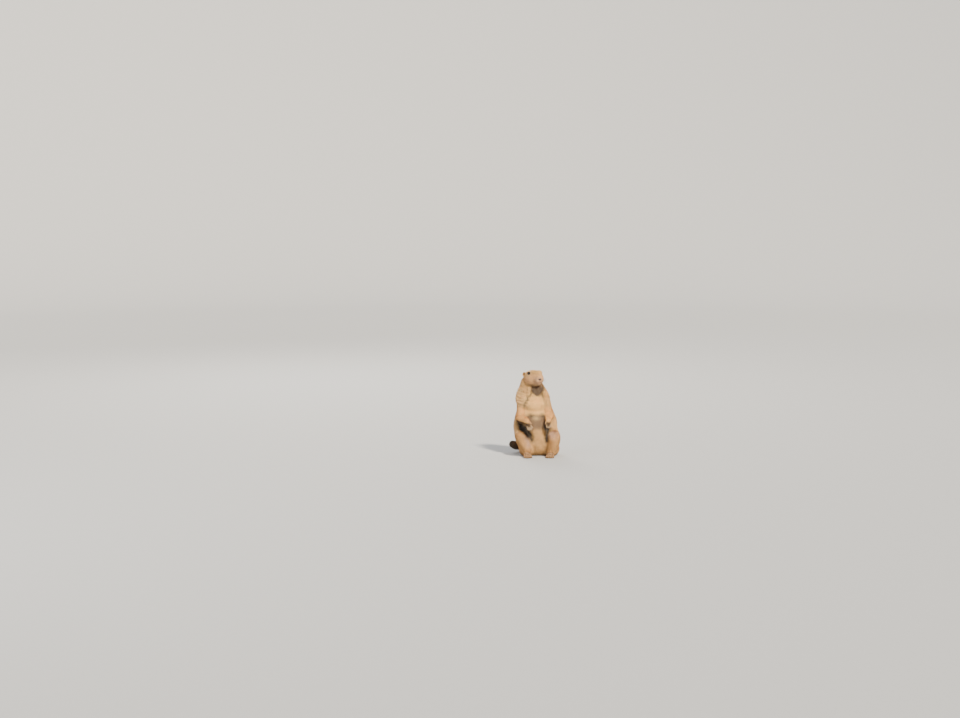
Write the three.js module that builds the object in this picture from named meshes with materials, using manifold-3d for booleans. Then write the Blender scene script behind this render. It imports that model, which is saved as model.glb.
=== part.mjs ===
// A black-tailed prairie dog, life size, sitting up on its haunches with its forepaws hanging and its head
// turned to its left. Units are millimetres and degrees, +Z is up, and the animal faces -Y, so that its right
// side is at -X. The origin is on the ground under the middle of the body.
//
// The body is one smooth field of distances, blended from ellipsoids and tapered limbs. The field is turned
// into meshes part by part, and thin cuts of GAP part the neighbours.
import * as THREE from "three";
import { mergeVertices } from "three/addons/utils/BufferGeometryUtils.js";
import Module from "manifold-3d";

const wasm = await Module();
wasm.setup();

// Driving sizes
const SITTING_HEIGHT = 278;
const BODY_WIDTH = 143;
const BODY_DEPTH = 112;
const NECK_WIDTH = 72;
const HEAD_SCALE = 1.06;
const HEAD_YAW = 28;
const EYE_RADIUS = 6.5;
const TAIL_WIDTH = 20;
const GAP = 0.3;

// Mesh steps: the edge of a cell of the grid that each part is worked out on
const TRUNK_STEP = 9.6;
const HEAD_STEP = 4.1;
const LIMB_STEP = 5.7;

// Furs and skins
const FUR = {
  head: 0xc4a374, chest: 0xd8b98c, belly: 0xd2b592, leg: 0xc59a72,
  tail: 0xb08c5e, paw: 0xd9bfa2, black: 0x2c241d,
};
const EYE_COLOUR = 0x0d0907;
const NOSE_COLOUR = 0x3a2c26;

const radians = THREE.MathUtils.degToRad;
const vec = (x, y, z) => new THREE.Vector3(x, y, z);
const lerp = THREE.MathUtils.lerp;

// Random numbers from a fixed seed, by the usual linear congruence
let seed = 20011;
function random(low, high) {
  seed = (seed * 1103515245 + 12345) % 2147483648;
  return lerp(low, high, seed / 2147483648);
}

// The smaller of two distances, with the corner between them rounded over a width of blend
function smoothMin(a, b, blend) {
  const h = blend > 0 ? Math.max(blend - Math.abs(a - b), 0) / blend : 0;
  return Math.min(a, b) - h * h * blend * 0.25;
}

// A turn about Y by roll and then about Z by yaw
const turned = (yaw, roll = 0) =>
  new THREE.Quaternion().setFromEuler(new THREE.Euler(0, radians(roll), radians(yaw), "ZYX"));

// Distance to an ellipsoid, which turn sets askew
function ellipsoid(at, radii, turn = turned(0)) {
  const back = turn.clone().invert();
  const point = vec(0, 0, 0);
  return (x, y, z) => {
    point.set(x - at.x, y - at.y, z - at.z).applyQuaternion(back);
    const near = Math.hypot(point.x / radii[0], point.y / radii[1], point.z / radii[2]);
    const steep = Math.hypot(point.x / radii[0] ** 2, point.y / radii[1] ** 2, point.z / radii[2] ** 2);
    return steep > 1e-9 ? (near * (near - 1)) / steep : -Math.min(...radii);
  };
}

// Distance to a limb with round ends, whose radius goes evenly from one end to the other
function limb(from, to, fromRadius, toRadius) {
  const along = to.clone().sub(from);
  const lengthSquared = along.lengthSq();
  return (x, y, z) => {
    const dx = x - from.x;
    const dy = y - from.y;
    const dz = z - from.z;
    const t = THREE.MathUtils.clamp((dx * along.x + dy * along.y + dz * along.z) / lengthSquared, 0, 1);
    return Math.hypot(dx - along.x * t, dy - along.y * t, dz - along.z * t) - lerp(fromRadius, toRadius, t);
  };
}

// One field from several forms, each blended into those before it
function blended(forms) {
  return (x, y, z) =>
    forms.reduce((nearest, [form, blend]) => smoothMin(nearest, form(x, y, z), blend), Infinity);
}

// Trunk: rump on the ground, wide abdomen, chest with its full front, sloping shoulders and thick neck
const ABDOMEN = vec(-3.5, 8, 94);
const RUMP = vec(6, 12, 46);
const CHEST = vec(-9, 2, 160);
const SHOULDERS = vec(-14, 0, 196);
const NECK = vec(-17, -4, 229);
const trunkField = blended([
  [ellipsoid(ABDOMEN, [BODY_WIDTH * 0.5, BODY_DEPTH * 0.5, 80]), 0],
  [ellipsoid(RUMP, [BODY_WIDTH * 0.43, BODY_DEPTH * 0.45, 52]), 20],
  [ellipsoid(CHEST, [50, 38, 62]), 26],
  [ellipsoid(vec(CHEST.x + 1, CHEST.y - 26, CHEST.z + 12), [37, 24, 28]), 6],
  [ellipsoid(SHOULDERS, [NECK_WIDTH * 0.69, 35, 42]), 18],
  [ellipsoid(NECK, [NECK_WIDTH * 0.5, 31, 38]), 14],
  [ellipsoid(vec(-8, -20, 214), [26, 18, 24]), 10],
]);

// Head, in its own frame: x forward, y to its left, z up, from the middle between the eyes
const EYES = vec(-6.4, -24, SITTING_HEIGHT - 9.4);
const EYE_SIDE = 18.2 * HEAD_SCALE;
const EYE_YAW = 62;
const EYE_PITCH = 8;
const NOSE = vec(29.8, 0, -16.2);
const headFrame = new THREE.Matrix4()
  .makeTranslation(EYES.x, EYES.y, EYES.z)
  .multiply(new THREE.Matrix4().makeRotationZ(radians(HEAD_YAW - 90)))
  .multiply(new THREE.Matrix4().makeScale(HEAD_SCALE, HEAD_SCALE, HEAD_SCALE));
const headFrameInverse = headFrame.clone().invert();
const inHead = (x, y, z) => vec(x, y, z).applyMatrix4(headFrame);
const bothSides = (x, y, z, radii, blend) =>
  [1, -1].map((side) => [ellipsoid(vec(x, side * y, z), radii), blend]);
const headForms = blended([
  [ellipsoid(vec(-13, 0, -9.4), [27, 26.5, 17.6]), 0],
  [ellipsoid(vec(5, 0, -5), [17.5, 19, 13]), 8],
  ...bothSides(-4, 15.5, -19, [21, 13, 15.5], 8),
  [ellipsoid(vec(2, 0, -23), [24, 17, 14]), 8],
  [limb(vec(8, 0, -11.5), vec(21, 0, -18), 14.5, 11), 7],
  ...bothSides(22, 6, -20.5, [9.6, 7.2, 7.4], 4),
  [ellipsoid(vec(17.5, 0, -30), [9.5, 8, 5.8]), 3],
  ...bothSides(0, 16.5, 2.4, [9.5, 4.5, 5], 6),
]);
const headPoint = vec(0, 0, 0);
function headField(x, y, z) {
  headPoint.set(x, y, z).applyMatrix4(headFrameInverse);
  return headForms(headPoint.x, headPoint.y, headPoint.z) * HEAD_SCALE;
}

// The two sides differ, because the animal leans to its right. Places are joints and middles of limbs.
const SIDES = {
  right: {
    sign: -1,
    seat: vec(-32, 4, 19), haunch: vec(-38, -10, 44), roll: -28,
    hip: vec(-32, 22, 46), knee: vec(-48, -36, 64), shin: vec(-34, -24, 20),
    footHeel: vec(-36, -8, 8.5), footBall: vec(-31, -49, 7.5),
    shoulder: vec(-43, -12, 178), elbow: vec(-51, -21, 125), wrist: vec(-34, -52, 119),
    knuckles: vec(-27, -60, 107), fingersEnd: vec(-16, -64, 91),
  },
  left: {
    sign: 1,
    seat: vec(49, 4, 21), haunch: vec(49, -10, 44), roll: 14,
    hip: vec(40, 22, 46), knee: vec(55, -36, 64), shin: vec(46, -24, 20),
    footHeel: vec(48, -7, 8.5), footBall: vec(43, -48, 7.5),
    shoulder: vec(23, -14, 180), elbow: vec(38, -19, 136), wrist: vec(36, -51, 123),
    knuckles: vec(35, -58, 111), fingersEnd: vec(34, -61, 96),
  },
};
const HAUNCH_RADII = [24, 46, 45];
const HAUNCH_YAW = 8;
const KNEE_RADIUS = 18;
const ELBOW_RADIUS = 17.2;
const WRIST_RADIUS = 7.8;

for (const side of Object.values(SIDES)) {
  side.haunchField = blended([
    [ellipsoid(side.seat, [25.5, 37, 25]), 0],
    [ellipsoid(side.haunch, HAUNCH_RADII, turned(side.sign * HAUNCH_YAW, side.roll)), 8],
    [limb(side.hip, side.knee, 32, KNEE_RADIUS), 10],
    [limb(side.knee, side.shin, 15, 15), 10],
  ]);
  side.upperArmField = limb(side.shoulder, side.elbow, 20, ELBOW_RADIUS - 2);
  side.forearmField = blended([
    [limb(side.elbow, side.wrist, ELBOW_RADIUS, WRIST_RADIUS), 0],
    [limb(side.wrist, side.knuckles, WRIST_RADIUS, 7.8), 5],
  ]);
  side.footField = blended([
    [limb(side.footHeel, side.footBall, 9, 9.5), 0],
    [ellipsoid(side.footBall, [12.5, 13, 8.5]), 5],
  ]);
}

// Head, trunk, haunches and upper arms as one. The arms melt into the chest more than into the belly.
const armBlend = (z) => lerp(4, 12, THREE.MathUtils.smoothstep(z, 132, 168));
const neckedHead = (x, y, z) => smoothMin(trunkField(x, y, z), headField(x, y, z), 10);
function bodyField(x, y, z) {
  let nearest = neckedHead(x, y, z);
  for (const side of Object.values(SIDES)) {
    nearest = smoothMin(nearest, side.haunchField(x, y, z), 11);
    nearest = smoothMin(nearest, side.upperArmField(x, y, z), armBlend(z));
  }
  return nearest;
}

// Surface nets: one vertex in each grid cell that the surface crosses, moved onto the surface along the
// field's slope, and one face on each grid edge that it crosses. Outside the box the field counts as empty.
// With a growth the same faces stand that far off the surface, which makes room for a part in its neighbours.
function surfaceOf(field, low, high, step, growth = 0) {
  const count = ["x", "y", "z"].map((axis) => Math.ceil((high[axis] - low[axis]) / step) + 3);
  const [nx, ny, nz] = count;
  const inside = (x, y, z) => {
    const wall = Math.max(low.x - x, x - high.x, low.y - y, y - high.y, low.z - z, z - high.z);
    return Math.max(field(x, y, z), wall);
  };
  const place = (i, j, k) => [low.x + (i - 1) * step, low.y + (j - 1) * step, low.z + (k - 1) * step];
  const index = (i, j, k) => (k * ny + j) * nx + i;
  const values = new Float64Array(nx * ny * nz);
  for (let k = 0; k < nz; k++)
    for (let j = 0; j < ny; j++)
      for (let i = 0; i < nx; i++) values[index(i, j, k)] = inside(...place(i, j, k));
  const corners = [0, 1].flatMap((c) => [0, 1].flatMap((b) => [0, 1].map((a) => [a, b, c])));
  const apart = (a, b) => Math.abs(a[0] - b[0]) + Math.abs(a[1] - b[1]) + Math.abs(a[2] - b[2]);
  const edges = corners.flatMap((a, m) =>
    corners.slice(m + 1).filter((b) => apart(a, b) === 1).map((b) => [a, b]));
  const cellVertex = new Map();
  const positions = [];
  for (let k = 0; k < nz - 1; k++)
    for (let j = 0; j < ny - 1; j++)
      for (let i = 0; i < nx - 1; i++) {
        const sum = [0, 0, 0, 0];
        for (const [a, b] of edges) {
          const va = values[index(i + a[0], j + a[1], k + a[2])];
          const vb = values[index(i + b[0], j + b[1], k + b[2])];
          if (va < 0 === vb < 0) continue;
          const t = va / (va - vb);
          const pa = place(i + a[0], j + a[1], k + a[2]);
          const pb = place(i + b[0], j + b[1], k + b[2]);
          for (let c = 0; c < 3; c++) sum[c] += lerp(pa[c], pb[c], t);
          sum[3]++;
        }
        if (!sum[3]) continue;
        cellVertex.set(index(i, j, k), positions.length / 3);
        positions.push(...onSurface(inside, sum.slice(0, 3).map((s) => s / sum[3]), step));
      }
  for (let n = 0; growth && n < positions.length; n += 3) {
    const slope = slopeOf(inside, positions.slice(n, n + 3));
    const steepness = Math.hypot(...slope) || 1;
    for (let axis = 0; axis < 3; axis++) positions[n + axis] += (slope[axis] / steepness) * growth;
  }
  const triangles = [];
  const around = [[[0, 1, 0], [0, 0, 1]], [[0, 0, 1], [1, 0, 0]], [[1, 0, 0], [0, 1, 0]]];
  for (let k = 1; k < nz - 1; k++)
    for (let j = 1; j < ny - 1; j++)
      for (let i = 1; i < nx - 1; i++)
        around.forEach(([u, v], axis) => {
          const here = values[index(i, j, k)];
          const next = values[index(i + (axis === 0), j + (axis === 1), k + (axis === 2))];
          if (here < 0 === next < 0) return;
          const quad = [[0, 0], [1, 0], [1, 1], [0, 1]].map(([a, b]) =>
            cellVertex.get(index(...[i, j, k].map((place, n) => place - a * u[n] - b * v[n]))));
          if (here >= 0) quad.reverse();
          const at = (n) => vec(...positions.slice(quad[n] * 3, quad[n] * 3 + 3));
          const short = at(0).distanceTo(at(2)) < at(1).distanceTo(at(3)) ? 0 : 1;
          triangles.push(quad[short], quad[short + 1], quad[short + 2]);
          triangles.push(quad[short], quad[short + 2], quad[(short + 3) % 4]);
        });
  return new THREE.BufferGeometry()
    .setAttribute("position", new THREE.BufferAttribute(new Float32Array(positions), 3))
    .setIndex(triangles);
}

function slopeOf(field, point) {
  const value = field(...point);
  return [0, 1, 2].map((axis) => {
    const beyond = [...point];
    beyond[axis] += 0.05;
    return (field(...beyond) - value) / 0.05;
  });
}

// Moves a point along the field's slope until the field is zero there, by at most a third of a cell
function onSurface(field, point, step) {
  const moved = [...point];
  for (let turn = 0; turn < 4; turn++) {
    const value = field(...moved);
    const slope = slopeOf(field, moved);
    const steepness = slope.reduce((sum, s) => sum + s * s, 0);
    if (steepness < 1e-6) break;
    for (let axis = 0; axis < 3; axis++) {
      const wanted = moved[axis] - (value * slope[axis]) / steepness;
      moved[axis] = THREE.MathUtils.clamp(wanted, point[axis] - step / 3, point[axis] + step / 3);
    }
  }
  return moved;
}

// A tube with round ends along a smooth curve. radii and flatness go evenly over the points, and flatness is
// the tube's thickness over its width, across the curve and the given side direction.
function tube(points, radii, sides, rings, flatness = 1, across = vec(1, 0, 0)) {
  const curve = new THREE.CatmullRomCurve3(points);
  const positions = [];
  const push = (centre, right, up, radius) => {
    for (let n = 0; n < sides; n++) {
      const angle = (n / sides) * Math.PI * 2;
      const out = right.clone().multiplyScalar(Math.cos(angle) * radius);
      out.addScaledVector(up, Math.sin(angle) * radius * flatness);
      positions.push(centre.x + out.x, centre.y + out.y, centre.z + out.z);
    }
  };
  const radiusAt = (t) => {
    const place = t * (radii.length - 1);
    const first = Math.min(Math.floor(place), radii.length - 2);
    return lerp(radii[first], radii[first + 1], place - first);
  };
  for (let ring = 0; ring <= rings; ring++) {
    const t = ring / rings;
    const along = curve.getTangent(t);
    const up = along.clone().cross(across).normalize();
    const right = up.clone().cross(along).normalize();
    push(curve.getPoint(t), right, up, radiusAt(t));
  }
  const capAt = (t, sign) => {
    const along = curve.getTangent(t).multiplyScalar(sign * radiusAt(t) * 0.6);
    const end = curve.getPoint(t).add(along);
    positions.push(end.x, end.y, end.z);
    return positions.length / 3 - 1;
  };
  const start = capAt(0, -1);
  const end = capAt(1, 1);
  const triangles = [];
  for (let n = 0; n < sides; n++) {
    const m = (n + 1) % sides;
    triangles.push(start, m, n);
    triangles.push(end, rings * sides + n, rings * sides + m);
    for (let ring = 0; ring < rings; ring++) {
      const a = ring * sides;
      const b = a + sides;
      triangles.push(a + n, a + m, b + m, a + n, b + m, b + n);
    }
  }
  return new THREE.BufferGeometry()
    .setAttribute("position", new THREE.BufferAttribute(new Float32Array(positions), 3))
    .setIndex(triangles);
}

// A closed three.js geometry as a solid
function solid(geometry, matrix = new THREE.Matrix4()) {
  const bare = new THREE.BufferGeometry();
  bare.setAttribute("position", geometry.getAttribute("position").clone());
  bare.setIndex(geometry.index ? geometry.index.clone() : null);
  const merged = mergeVertices(bare.applyMatrix4(matrix), 1e-4);
  const made = new wasm.Manifold(new wasm.Mesh({
    numProp: 3,
    vertProperties: new Float32Array(merged.attributes.position.array),
    triVerts: new Uint32Array(merged.index.array),
  }));
  if (made.volume() > 0) return made;
  const turned = new Uint32Array(merged.index.array);
  for (let n = 1; n < turned.length; n += 3) [turned[n], turned[n + 1]] = [turned[n + 1], turned[n]];
  return new wasm.Manifold(new wasm.Mesh({
    numProp: 3, vertProperties: new Float32Array(merged.attributes.position.array), triVerts: turned,
  }));
}

// An ellipsoid as a solid
function ball(at, radii, segments = 16, turn = new THREE.Quaternion()) {
  const geometry = new THREE.SphereGeometry(1, segments, Math.round(segments * 0.7));
  return solid(geometry, new THREE.Matrix4().compose(at, turn, vec(...radii)));
}

// Everything on the side of a plane that its normal points to, from away past the plane
const REACH = 600;
function halfSpace(point, normal, away = 0) {
  const unit = normal.clone().normalize();
  const turn = new THREE.Quaternion().setFromUnitVectors(vec(0, 0, 1), unit);
  const middle = point.clone().addScaledVector(unit, away + REACH / 2);
  const place = new THREE.Matrix4().compose(middle, turn, vec(1, 1, 1));
  return solid(new THREE.BoxGeometry(REACH, REACH, REACH), place);
}

// Where two parts are cut: the part ahead of the plane and the part behind it stay GAP apart
function ahead(point, normal) {
  return halfSpace(point, normal, GAP / 2);
}
function behind(point, normal) {
  return halfSpace(point, normal.clone().negate(), GAP / 2);
}
const aboveGround = halfSpace(vec(0, 0, 0), vec(0, 0, 1));

// The largest closed body of a solid, for a cut that leaves a scrap
function largest(made) {
  return made.decompose().sort((a, b) => b.volume() - a.volume())[0];
}

// Draws together the ends of edges shorter than SHORTEST_EDGE, which cuts leave behind. An edge is kept where
// its ends share more than two neighbours, or where a face would turn over.
const SHORTEST_EDGE = 0.25;
function withoutShortEdges(points, faces) {
  const facesAt = points.map(() => new Set());
  faces.forEach((face, f) => face.forEach((v) => facesAt[v].add(f)));
  const normalOf = (face) => new THREE.Triangle(...face.map((v) => points[v])).getNormal(vec(0, 0, 0));
  const neighbours = (v) => new Set([...facesAt[v]].flatMap((f) => faces[f]).filter((w) => w !== v));
  const collapses = (kept, dropped) => {
    const shared = [...neighbours(kept)].filter((v) => neighbours(dropped).has(v));
    if (shared.length !== 2) return false;
    const moved = [...facesAt[dropped]].filter((f) => !faces[f].includes(kept));
    return moved.every((f) => {
      const after = faces[f].map((v) => (v === dropped ? kept : v));
      const area = new THREE.Triangle(...after.map((v) => points[v])).getArea();
      const before = new THREE.Triangle(...faces[f].map((v) => points[v])).getArea();
      return before < 1e-3 || (area > 1e-3 && normalOf(after).dot(normalOf(faces[f])) > 0.7);
    });
  };
  let changed = true;
  for (let turn = 0; turn < 6 && changed; turn++) {
    changed = false;
    for (let f = 0; f < faces.length; f++) {
      for (let n = 0; n < 3 && faces[f]; n++) {
        const [a, b] = [faces[f][n], faces[f][(n + 1) % 3]];
        if (points[a].distanceTo(points[b]) > SHORTEST_EDGE) continue;
        const [kept, dropped] = collapses(a, b) ? [a, b] : collapses(b, a) ? [b, a] : [];
        if (kept === undefined) continue;
        for (const g of [...facesAt[dropped]]) {
          if (faces[g].includes(kept)) {
            faces[g].forEach((v) => facesAt[v].delete(g));
            faces[g] = null;
          } else {
            faces[g] = faces[g].map((v) => (v === dropped ? kept : v));
            facesAt[kept].add(g);
          }
        }
        facesAt[dropped].clear();
        changed = true;
      }
    }
  }
  return faces.filter((face) => face);
}

const group = new THREE.Group();
function add(name, made, colour, roughness = 0.9) {
  const mesh = largest(made).getMesh();
  const points = Array.from({ length: mesh.numVert }, (_, n) =>
    vec(...mesh.vertProperties.subarray(n * mesh.numProp, n * mesh.numProp + 3)));
  const faces = Array.from({ length: mesh.numTri }, (_, n) => [...mesh.triVerts.subarray(n * 3, n * 3 + 3)]);
  const kept = withoutShortEdges(points, faces);
  const used = [...new Set(kept.flat())];
  const renumbered = new Map(used.map((v, n) => [v, n]));
  const geometry = new THREE.BufferGeometry().setFromPoints(used.map((v) => points[v]));
  geometry.setIndex(kept.flat().map((v) => renumbered.get(v)));
  geometry.computeVertexNormals();
  const finish = new THREE.MeshStandardMaterial({ color: colour, roughness, metalness: 0 });
  const placed = new THREE.Mesh(geometry, finish);
  placed.name = name;
  group.add(placed);
}

// Cuts across the trunk
const HEAD_CUT = { at: inHead(0, 0, -38), normal: inHead(0.36, 0, 1).sub(inHead(0, 0, 0)) };
const NECK_CUT = { at: vec(0, 0, 206), normal: vec(-0.1, -0.12, 1) };
const WAIST_CUT = { at: vec(0, 0, 146), normal: vec(0, 0.06, 1) };

// Cutters round the limbs that grow from the trunk, grown by extra for the part that they are cut from
function capsuleAround(from, to, radius) {
  const along = to.clone().sub(from);
  const turn = new THREE.Quaternion().setFromUnitVectors(vec(0, 1, 0), along.clone().normalize());
  const geometry = new THREE.CapsuleGeometry(radius, along.length(), 3, 12);
  const middle = from.clone().add(to).multiplyScalar(0.5);
  return solid(geometry, new THREE.Matrix4().compose(middle, turn, vec(1, 1, 1)));
}
const ARM_CUTTER_RADIUS = 27;
const HAUNCH_CUTTER_RADII = HAUNCH_RADII.map((radius, n) => radius + [5, 8, 8][n]);
const upperArmCutter = (side, extra) => {
  const outward = vec(side.sign * 11, -5, 0);
  const [top, end] = [side.shoulder, side.elbow].map((point) => point.clone().add(outward));
  const round = capsuleAround(top, end, ARM_CUTTER_RADIUS + extra);
  const upward = side.shoulder.clone().sub(side.elbow).normalize();
  const under = side.elbow.clone().addScaledVector(upward, -ELBOW_RADIUS);
  return round.intersect(halfSpace(under, upward, -extra));
};
const haunchCutter = (side, extra) => {
  const radii = HAUNCH_CUTTER_RADII.map((radius) => radius + extra);
  const turn = turned(side.sign * HAUNCH_YAW, side.roll);
  return ball(side.haunch.clone().lerp(side.knee, 0.4), radii, 16, turn);
};

// Fingers and toes with their claws, fused to the palm or the sole that they grow from
function digit(root, tip, radius, bend, clawLength, clawDrop) {
  const along = tip.clone().sub(root);
  const middle = root.clone().addScaledVector(along, 0.55).add(bend);
  const finger = solid(tube([root, middle, tip], [radius * 1.1, radius, radius * 0.85], 6, 2));
  const forward = along.clone().normalize();
  const clawRoot = tip.clone().addScaledVector(forward, -radius * 0.8).addScaledVector(bend, 0.2);
  const clawMiddle = tip.clone().addScaledVector(forward, clawLength * 0.45).addScaledVector(bend, 0.35);
  const clawTip = tip.clone().addScaledVector(forward, clawLength).add(clawDrop);
  const claw = solid(tube([clawRoot, clawMiddle, clawTip], [radius * 0.5, radius * 0.42, 0.3], 4, 2));
  return finger.add(claw);
}

const FINGERS = {
  lengths: [0.5, 0.88, 1, 0.96, 0.8], spacing: 6.2, fan: 2.6, radius: 2.5, bulge: vec(0, -2.2, 0),
  claw: 8, clawDrop: vec(0, 1.5, -1.5),
};
const THUMB = { radius: 2.1, claw: 4, back: -0.3 };
const TOES = {
  lengths: [0.6, 0.92, 1, 0.95, 0.7], spacing: 8.8, fan: 2.4, radius: 3.1, bulge: vec(0, 0, 2.4),
  claw: 6.5, clawDrop: vec(0, 0, -1.2), rootHeight: 5.2, tipHeight: 3.4, shortest: 10, longest: 21,
};
function handOf(side) {
  const down = side.fingersEnd.clone().sub(side.knuckles);
  const forward = vec(0, -1, 0);
  const across = down.clone().cross(forward).normalize().multiplyScalar(-side.sign);
  const low = side.wrist.clone().min(side.fingersEnd).subScalar(22);
  const high = side.wrist.clone().max(side.fingersEnd).addScalar(22);
  let hand = solid(surfaceOf(side.forearmField, low, high, LIMB_STEP * 0.9));
  FINGERS.lengths.forEach((length, n) => {
    const place = (n - 2) / 2;
    const root = side.knuckles.clone().addScaledVector(across, place * FINGERS.spacing);
    if (n === 0) root.addScaledVector(down, THUMB.back);
    const tip = root.clone().addScaledVector(down, length * 0.85);
    tip.addScaledVector(across, place * FINGERS.fan);
    const { radius, claw } = n ? FINGERS : THUMB;
    hand = hand.add(digit(root, tip, radius, FINGERS.bulge, claw, FINGERS.clawDrop));
  });
  const arm = side.knuckles.clone().sub(side.wrist);
  return hand.intersect(ahead(side.wrist, arm));
}

// The forearm ends at the wrist. It starts from a cut at the elbow, and what it meets has room for it.
function forearmOf(side) {
  const low = side.wrist.clone().min(side.elbow).subScalar(24);
  const high = side.wrist.clone().max(side.elbow).addScalar(24);
  const whole = solid(surfaceOf(side.forearmField, low, high, LIMB_STEP));
  const hand = side.knuckles.clone().sub(side.wrist);
  return whole.intersect(behind(side.wrist, hand)).intersect(pastElbow(side, 0));
}
function forearmRoom(side) {
  const low = side.wrist.clone().min(side.elbow).subScalar(24);
  const high = side.wrist.clone().max(side.elbow).addScalar(24);
  const grown = solid(surfaceOf(side.forearmField, low, high, LIMB_STEP, GAP * 1.4));
  return grown.intersect(pastElbow(side, GAP));
}
function pastElbow(side, extra) {
  const forward = side.wrist.clone().sub(side.elbow).normalize();
  return halfSpace(side.elbow.clone().addScaledVector(forward, -3), forward, -extra);
}

function footOf(side) {
  const forward = side.footBall.clone().sub(side.footHeel).setZ(0).normalize();
  const across = vec(-forward.y, forward.x, 0).multiplyScalar(side.sign);
  const low = side.footHeel.clone().min(side.footBall).subScalar(20);
  const high = side.footHeel.clone().max(side.footBall).addScalar(20);
  let foot = solid(surfaceOf(side.footField, low, high, LIMB_STEP));
  TOES.lengths.forEach((length, n) => {
    const place = (n - 2) / 2;
    const root = side.footBall.clone().addScaledVector(across, place * TOES.spacing).setZ(TOES.rootHeight);
    const reach = lerp(TOES.shortest, TOES.longest, length);
    const tip = root.clone().addScaledVector(forward, reach);
    tip.addScaledVector(across, place * TOES.fan).setZ(TOES.tipHeight);
    foot = foot.add(digit(root, tip, TOES.radius, TOES.bulge, TOES.claw, TOES.clawDrop));
  });
  return foot.intersect(aboveGround);
}
const footRoom = (side) => {
  const low = side.footHeel.clone().min(side.footBall).subScalar(20);
  const high = side.footHeel.clone().max(side.footBall).addScalar(20);
  return solid(surfaceOf(side.footField, low, high, LIMB_STEP, GAP * 1.4));
};

// Tail: it leaves the rump, bends round to the right and ends in a brush of long hair, off the ground
const TAIL = [
  vec(4, 56, 24), vec(-9, 71, 15), vec(-34, 75, 10.8), vec(-56, 66, 17), vec(-68, 58, 23), vec(-74, 55, 26),
];
const TAIL_RADII = [1.05, 1, 1.02, 1.02, 0.7].map((share) => (share * TAIL_WIDTH) / 2);
const TAIL_FLATNESS = 0.92;
const TAIL_ROOT_CUT = { at: TAIL[0].clone().lerp(TAIL[1], 0.2), normal: TAIL[1].clone().sub(TAIL[0]) };
const BRUSH_CUT = { at: TAIL[3].clone().lerp(TAIL[2], 0.3), normal: TAIL[3].clone().sub(TAIL[2]) };
const UP = vec(0, 0, 1);

function tailBase() {
  const whole = solid(tube(TAIL.slice(0, TAIL_RADII.length), TAIL_RADII, 10, 12, TAIL_FLATNESS, UP));
  return whole.intersect(behind(BRUSH_CUT.at, BRUSH_CUT.normal)).intersect(aboveGround);
}

// The brush has a core half as thick as itself, and flat tapered locks in rows that overlap towards the tip.
// It is higher than it is wide.
const BRUSH_ROWS = [0.36, 0.54, 0.72, 0.9];
const BRUSH_HALF = { width: 10, height: 17 };
function tailBrush() {
  const half = TAIL_WIDTH / 2;
  const curve = new THREE.CatmullRomCurve3(TAIL.slice(2));
  const coreRadii = [0.98, 0.98, 0.6, 0.3].map((share) => share * half);
  let brush = solid(tube(TAIL.slice(2), coreRadii, 8, 8, TAIL_FLATNESS, UP));
  brush = brush.intersect(ahead(BRUSH_CUT.at, BRUSH_CUT.normal));
  BRUSH_ROWS.forEach((t, row) => {
    const locks = row < 3 ? 7 : 5;
    for (let n = 0; n < locks; n++) {
      const angle = ((n + (row % 2) * 0.5) / locks) * Math.PI * 2 + random(-0.12, 0.12);
      const along = curve.getTangent(t);
      const right = along.clone().cross(UP).normalize();
      const up = right.clone().cross(along).normalize();
      const out = right.clone().multiplyScalar(Math.cos(angle) * BRUSH_HALF.width);
      out.addScaledVector(up, Math.sin(angle) * BRUSH_HALF.height);
      const root = curve.getPoint(t);
      const core = lerp(0.4, 0.12, row / 3);
      const swell = lerp(1.0, 0.86, row / 3) * random(0.94, 1.06);
      const reach = random(15, 18);
      const points = [
        root.clone().addScaledVector(out, core),
        root.clone().addScaledVector(along, reach * 0.45).addScaledVector(out, swell * 0.8),
        root.clone().addScaledVector(along, reach).addScaledVector(out, swell * lerp(1, 0.45, row / 3)),
      ];
      points.forEach((point) => point.setZ(Math.max(point.z, 1)));
      const side = along.clone().cross(out).normalize();
      brush = brush.add(solid(tube(points, [2.4, 3.2, 0.4], 4, 2, 0.5, side)));
    }
  });
  return largest(brush.intersect(aboveGround));
}

// Eyes, lids, nose, mouth and ears
const eyeAxis = (sign) => {
  const yaw = radians(sign * EYE_YAW);
  const pitch = radians(EYE_PITCH);
  const local = vec(Math.cos(yaw) * Math.cos(pitch), Math.sin(yaw) * Math.cos(pitch), Math.sin(pitch));
  return local.transformDirection(headFrame);
};
const eyeAt = (sign) => inHead(0, (sign * EYE_SIDE) / HEAD_SCALE, 0);

const LIDS = { lift: 3.9, radius: 5.9, roll: 1.6, length: 1.12, height: 0.96 };
function lidsOf(sign) {
  const axis = eyeAxis(sign);
  const forward = vec(1, 0, 0).transformDirection(headFrame);
  const along = forward.sub(axis.clone().multiplyScalar(forward.dot(axis))).normalize();
  const up = axis.clone().cross(along).normalize();
  const middle = eyeAt(sign).addScaledVector(axis, LIDS.lift);
  const basis = new THREE.Matrix4().makeBasis(along, up, axis).setPosition(middle);
  const ring = new THREE.TorusGeometry(LIDS.radius, LIDS.roll, 5, 12);
  return solid(ring, basis.multiply(new THREE.Matrix4().makeScale(LIDS.length, LIDS.height, 1)));
}

// A point of the head's surface, from a point in the head's frame near it
function onHead(x, y, z) {
  const start = inHead(x, y, z);
  return vec(...onSurface(headField, [start.x, start.y, start.z], 30));
}
const MOUTH_HALF = [[13, 10.5, -28.5], [19, 9.5, -26.8], [26.5, 6, -25.6]];
const MOUTH = [
  ...MOUTH_HALF.map(([x, y, z]) => [x, -y, z]), [30, 0, -25.2], ...MOUTH_HALF.toReversed(),
];
const MOUTH_RADII = [0.9, 1.2, 1.2, 1.2, 1.2, 1.2, 0.9];

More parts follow.
